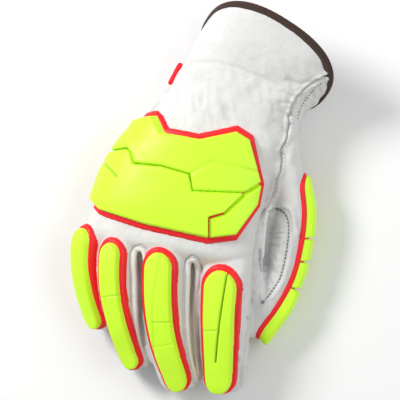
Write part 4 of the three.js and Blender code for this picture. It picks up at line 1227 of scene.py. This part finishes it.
class GLOVE_OT_stitches(bpy.types.Operator):
    """Sew the stitches along the seams"""

    bl_idname = "glove.stitches"
    bl_label = "Stitches"

    def execute(self, context):
        trees = leather_trees()
        pitch = sizes().stitch_pitch / MM
        light, dark = thread_finish(False), thread_finish(True)
        beside = offset_line(drawn(SIDE_SEAM_LINE[1:15]), 2.0)
        self.sew("side_seam_stitches", beside, pitch, 0.55, 0.28, light, trees)
        self.sew("cuff_seam_stitches", drawn(CUFF_STITCH_LINE), 0.8 * pitch, 0.5, 0.3, dark, trees)
        self.sew("gusset_seam_stitches", drawn(GUSSET_SEAM), 0.9 * pitch, 0.48, 0.42, dark, trees)
        self.sew("gusset_seam_knot", drawn([(260.5, 302), (264, 304.5), (262, 301), (266.5, 303)]),
                 0.7 * pitch, 0.8, 0.34, dark, trees)
        return {"FINISHED"}

    def sew(self, name, line, pitch, share, radius, finish, trees):
        lengths = np.linalg.norm(np.diff(line, axis=0), axis=1)
        run = np.concatenate([[0], np.cumsum(lengths)])
        points, faces = [], []
        for start in np.arange(0.5, run[-1] - pitch, pitch):
            spots = start + np.array([0, 0.25, 0.5, 0.75, 1]) * pitch * share
            path = []
            for s in spots:
                x, y = np.interp(s, run, line[:, 0]), np.interp(s, run, line[:, 1])
                path.append((x, y, surface_height(x, y, trees)))
            path = np.array(path)
            path[:, 2] = path[:, 2].max() + np.array([-0.25, 0.12, 0.2, 0.12, -0.25])
            ahead = path[-1] - path[0]
            ahead[2] = 0
            ahead /= np.linalg.norm(ahead)
            beside = np.array([-ahead[1], ahead[0], 0])
            turn = np.linspace(0, 2 * math.pi, 6, endpoint=False)
            circle = radius * (np.cos(turn)[:, None] * beside + np.sin(turn)[:, None] * [0, 0, 1])
            rings = path[:, None] + circle[None]
            some, few = tube(rings)
            count = sum(len(p) for p in points)
            points.append(some)
            faces += [[v + count for v in face] for face in few]
        if not points:
            raise RuntimeError(f"{name}: no stitch fits on the line")
        piece = mesh_object(name, np.vstack(points), faces)
        finish_piece(piece, finish)


def offset_line(line, by):
    """A line moved to its left by some millimetres"""
    ahead = np.gradient(line, axis=0)
    ahead /= np.linalg.norm(ahead, axis=1, keepdims=True)
    return line + by * np.column_stack([-ahead[:, 1], ahead[:, 0]])


def surface_height(x, y, trees):
    """Height of the leather under a place seen from above, in drawing millimetres"""
    start = Vector(((x + ORIGIN[0]) * MM, (y + ORIGIN[1]) * MM, 0.2))
    best = 0.0
    for tree in trees:
        hit = tree.ray_cast(start, Vector((0, 0, -1)))[0]
        if hit is not None:
            best = max(best, hit.z / MM)
    return best


# Finishes

def new_finish(name):
    material = bpy.data.materials.get(name)
    if material:
        return material, None
    material = bpy.data.materials.new(name)
    material.use_nodes = True
    return material, material.node_tree


def texture(tree, kind, place, **settings):
    node = tree.nodes.new(kind)
    tree.links.new(place, node.inputs["Vector"])
    for key, value in settings.items():
        node.inputs[key].default_value = value
    return node


def bump(tree, height, distance, strength, before=None):
    node = tree.nodes.new("ShaderNodeBump")
    node.inputs["Distance"].default_value = distance
    node.inputs["Strength"].default_value = strength
    tree.links.new(height, node.inputs["Height"])
    if before:
        tree.links.new(before, node.inputs["Normal"])
    return node.outputs["Normal"]


def ramp(tree, value, low, high, first, second):
    node = tree.nodes.new("ShaderNodeMapRange")
    tree.links.new(value, node.inputs["Value"])
    node.inputs["From Min"].default_value = low
    node.inputs["From Max"].default_value = high
    node.inputs["To Min"].default_value = first
    node.inputs["To Max"].default_value = second
    return node.outputs["Result"]


def scaled_colour(tree, colour, factors):
    """A colour times some grey factors"""
    current = None
    for factor in factors:
        node = tree.nodes.new("ShaderNodeVectorMath")
        node.operation = "SCALE"
        if current is None:
            node.inputs[0].default_value = tuple(colour)
        else:
            tree.links.new(current, node.inputs[0])
        tree.links.new(factor, node.inputs["Scale"])
        current = node.outputs["Vector"]
    return current


def leather_finish(gusset):
    """Grain leather: fine pebbles, soft mottling, and creases darkened with painted shade"""
    material, tree = new_finish("gusset_leather_finish" if gusset else "white_leather_finish")
    if tree is None:
        return material
    shader = tree.nodes["Principled BSDF"]
    place = tree.nodes.new("ShaderNodeTexCoord").outputs["Object"]
    cloud = texture(tree, "ShaderNodeTexNoise", place, Scale=55.0, Detail=4.0)
    grain = texture(tree, "ShaderNodeTexVoronoi", place, Scale=900.0)
    pores = texture(tree, "ShaderNodeTexNoise", place, Scale=1500.0, Detail=3.0)
    creases = texture(tree, "ShaderNodeTexNoise", place, Scale=260.0, Detail=6.0)
    tone = tree.nodes.new("ShaderNodeAttribute")
    tone.attribute_name = "shade"
    # the gusset takes a lighter copy of the leather colour, a painted light in its hollow
    colour = colours().gusset if gusset else colours().leather
    # the shade attribute and the crease noise paint shade into creases and hollows, and highlight onto rolls
    factors = [ramp(tree, cloud.outputs["Fac"], 0.3, 0.7, 0.95, 1.03), tone.outputs["Fac"],
               ramp(tree, creases.outputs["Fac"], 0.35, 0.6, 0.97, 1.01)]
    tree.links.new(scaled_colour(tree, colour, factors), shader.inputs["Base Color"])
    shader.inputs["Roughness"].default_value = 0.62
    shader.inputs["Sheen Weight"].default_value = 0.12
    shader.inputs["Specular IOR Level"].default_value = 0.35
    normal = bump(tree, creases.outputs["Fac"], 0.0006, 0.45)
    normal = bump(tree, grain.outputs["Distance"], 0.0003, 0.35, normal)
    normal = bump(tree, pores.outputs["Fac"], 0.0002, 0.3, normal)
    tree.links.new(normal, shader.inputs["Normal"])
    return material


def rubber_finish(name, colour, painted_glow):
    """Moulded rubber with a faint spark-eroded texture"""
    material, tree = new_finish(f"{name}_finish")
    if tree is None:
        return material
    shader = tree.nodes["Principled BSDF"]
    place = tree.nodes.new("ShaderNodeTexCoord").outputs["Object"]
    cloud = texture(tree, "ShaderNodeTexNoise", place, Scale=45.0, Detail=3.0)
    grit = texture(tree, "ShaderNodeTexNoise", place, Scale=1600.0, Detail=2.0)
    soft = texture(tree, "ShaderNodeTexNoise", place, Scale=180.0, Detail=3.0)
    tone = tree.nodes.new("ShaderNodeAttribute")
    tone.attribute_name = "shade"
    # the shade attribute carries painted shade in the moulded creases and grooves
    factors = [ramp(tree, cloud.outputs["Fac"], 0.3, 0.7, 0.965, 1.02), tone.outputs["Fac"]]
    tree.links.new(scaled_colour(tree, colour, factors), shader.inputs["Base Color"])
    tree.links.new(ramp(tree, soft.outputs["Fac"], 0.3, 0.7, 0.4, 0.52), shader.inputs["Roughness"])
    shader.inputs["Specular IOR Level"].default_value = 0.4
    # painted light: the rubber shines of itself though it is no lamp
    shader.inputs["Emission Color"].default_value = (*colour, 1)
    shader.inputs["Emission Strength"].default_value = painted_glow
    normal = bump(tree, soft.outputs["Fac"], 0.0003, 0.15)
    normal = bump(tree, grit.outputs["Fac"], 0.0001, 0.25, normal)
    tree.links.new(normal, shader.inputs["Normal"])
    return material


def tape_finish():
    """Woven tape: fine ribs with a lighter thread"""
    material, tree = new_finish("brown_tape_finish")
    if tree is None:
        return material
    shader = tree.nodes["Principled BSDF"]
    place = tree.nodes.new("ShaderNodeTexCoord").outputs["Object"]
    ribs = texture(tree, "ShaderNodeTexWave", place, Scale=420.0, Distortion=1.2, Detail=2.0)
    ribs.wave_type = "BANDS"
    ribs.bands_direction = "DIAGONAL"
    threads = texture(tree, "ShaderNodeTexNoise", place, Scale=900.0, Detail=3.0)
    factors = [ramp(tree, ribs.outputs["Fac"], 0.0, 1.0, 0.7, 1.25),
               ramp(tree, threads.outputs["Fac"], 0.3, 0.7, 0.8, 1.2)]
    tree.links.new(scaled_colour(tree, colours().tape, factors), shader.inputs["Base Color"])
    shader.inputs["Roughness"].default_value = 0.8
    shader.inputs["Sheen Weight"].default_value = 0.08
    normal = bump(tree, ribs.outputs["Fac"], 0.0004, 0.6)
    normal = bump(tree, threads.outputs["Fac"], 0.0002, 0.4, normal)
    tree.links.new(normal, shader.inputs["Normal"])
    return material


def thread_finish(dark):
    """Twisted sewing thread"""
    material, tree = new_finish("gusset_thread_finish" if dark else "thread_finish")
    if tree is None:
        return material
    shader = tree.nodes["Principled BSDF"]
    place = tree.nodes.new("ShaderNodeTexCoord").outputs["Object"]
    twist = texture(tree, "ShaderNodeTexNoise", place, Scale=2200.0, Detail=2.0)
    factors = [ramp(tree, twist.outputs["Fac"], 0.3, 0.7, 0.8, 1.1)]
    colour = colours().dark_thread if dark else colours().thread
    tree.links.new(scaled_colour(tree, colour, factors), shader.inputs["Base Color"])
    shader.inputs["Roughness"].default_value = 0.7
    normal = bump(tree, twist.outputs["Fac"], 0.0001, 0.4)
    tree.links.new(normal, shader.inputs["Normal"])
    return material


def stage_finish():
    material, tree = new_finish("stage_finish")
    if tree is None:
        return material
    shader = tree.nodes["Principled BSDF"]
    shader.inputs["Base Color"].default_value = (0.93, 0.93, 0.93, 1)
    shader.inputs["Roughness"].default_value = 0.9
    return material


# The stage, in metres: the floor, the lights as name, place, size and power, and the camera,
# whose frame is FRAMED_WIDTH wide at FRAMED_LEVEL above the floor
FLOOR_HALF = 3
FLOOR_LEVEL = -0.0002
ROOM_LIGHT = 0.44
LIGHTS = (("key_light", (-0.75, 0.55, 0.75), 0.4, 11), ("fill_light", (0.7, 0.1, 0.8), 0.9, 3.4))
SENSOR_WIDTH = 36
CAMERA_HEIGHT = 1.6
CAMERA_PLACE = (-0.00105, -0.00035)
FRAMED_WIDTH = 0.26
FRAMED_LEVEL = 0.03


class GLOVE_OT_stage(bpy.types.Operator):
    """Set up the pale floor, the soft lights and the camera"""

    bl_idname = "glove.stage"
    bl_label = "Floor, lights and camera"

    def execute(self, context):
        scene = context.scene
        mesh = bpy.data.meshes.new("stage_floor")
        corners = [(x * FLOOR_HALF, y * FLOOR_HALF, FLOOR_LEVEL)
                   for x, y in ((-1, -1), (1, -1), (1, 1), (-1, 1))]
        mesh.from_pydata(corners, [], [(0, 1, 2, 3)])
        floor = bpy.data.objects.new("stage_floor", mesh)
        scene.collection.objects.link(floor)
        mesh.materials.append(stage_finish())
        world = bpy.data.worlds.new("soft_room")
        world.use_nodes = True
        world.node_tree.nodes["Background"].inputs["Color"].default_value = (1, 1, 1, 1)
        world.node_tree.nodes["Background"].inputs["Strength"].default_value = ROOM_LIGHT
        scene.world = world
        scene.view_settings.view_transform = "Standard"
        for name, place, size, power in LIGHTS:
            light = bpy.data.lights.new(name, "AREA")
            light.shape = "DISK"
            light.size = size
            light.energy = power
            lamp = bpy.data.objects.new(name, light)
            lamp.location = place
            lamp.rotation_euler = (-Vector(place)).to_track_quat("-Z", "Y").to_euler()
            scene.collection.objects.link(lamp)
        camera = bpy.data.cameras.new("photo_camera")
        camera.sensor_width = SENSOR_WIDTH
        camera.lens = SENSOR_WIDTH * (CAMERA_HEIGHT - FRAMED_LEVEL) / FRAMED_WIDTH
        camera.clip_start = 0.01
        eye = bpy.data.objects.new("photo_camera", camera)
        eye.location = (*CAMERA_PLACE, CAMERA_HEIGHT)
        eye.rotation_euler = (0, 0, 0)
        scene.collection.objects.link(eye)
        scene.camera = eye
        return {"FINISHED"}


class GLOVE_PT_build(bpy.types.Panel):
    """Lists the pieces of the glove"""

    bl_idname = "GLOVE_PT_build"
    bl_label = "Impact Glove"
    bl_space_type = "VIEW_3D"
    bl_region_type = "UI"
    bl_category = "Glove"

    def draw(self, context):
        for group in (context.scene.glove_sizes, context.scene.glove_colours):
            box = self.layout.box()
            for name in group.__annotations__:
                box.prop(group, name)
        for operator in OPERATORS:
            self.layout.operator(operator.bl_idname)


OPERATORS = (GLOVE_OT_leather, GLOVE_OT_back_guard, GLOVE_OT_digit_guards, GLOVE_OT_trim,
             GLOVE_OT_stitches, GLOVE_OT_stage)
CLASSES = (GloveSizes, GloveColours, *OPERATORS, GLOVE_PT_build)


def register():
    for one in CLASSES:
        bpy.utils.register_class(one)
    bpy.types.Scene.glove_sizes = PointerProperty(type=GloveSizes)
    bpy.types.Scene.glove_colours = PointerProperty(type=GloveColours)


def unregister():
    del bpy.types.Scene.glove_colours
    del bpy.types.Scene.glove_sizes
    for one in reversed(CLASSES):
        bpy.utils.unregister_class(one)


def main():
    register()
    bpy.ops.glove.stage()
    bpy.ops.glove.leather()
    bpy.ops.glove.back_guard()
    bpy.ops.glove.digit_guards()
    bpy.ops.glove.trim()
    bpy.ops.glove.stitches()


if __name__ == "__main__":
    main()
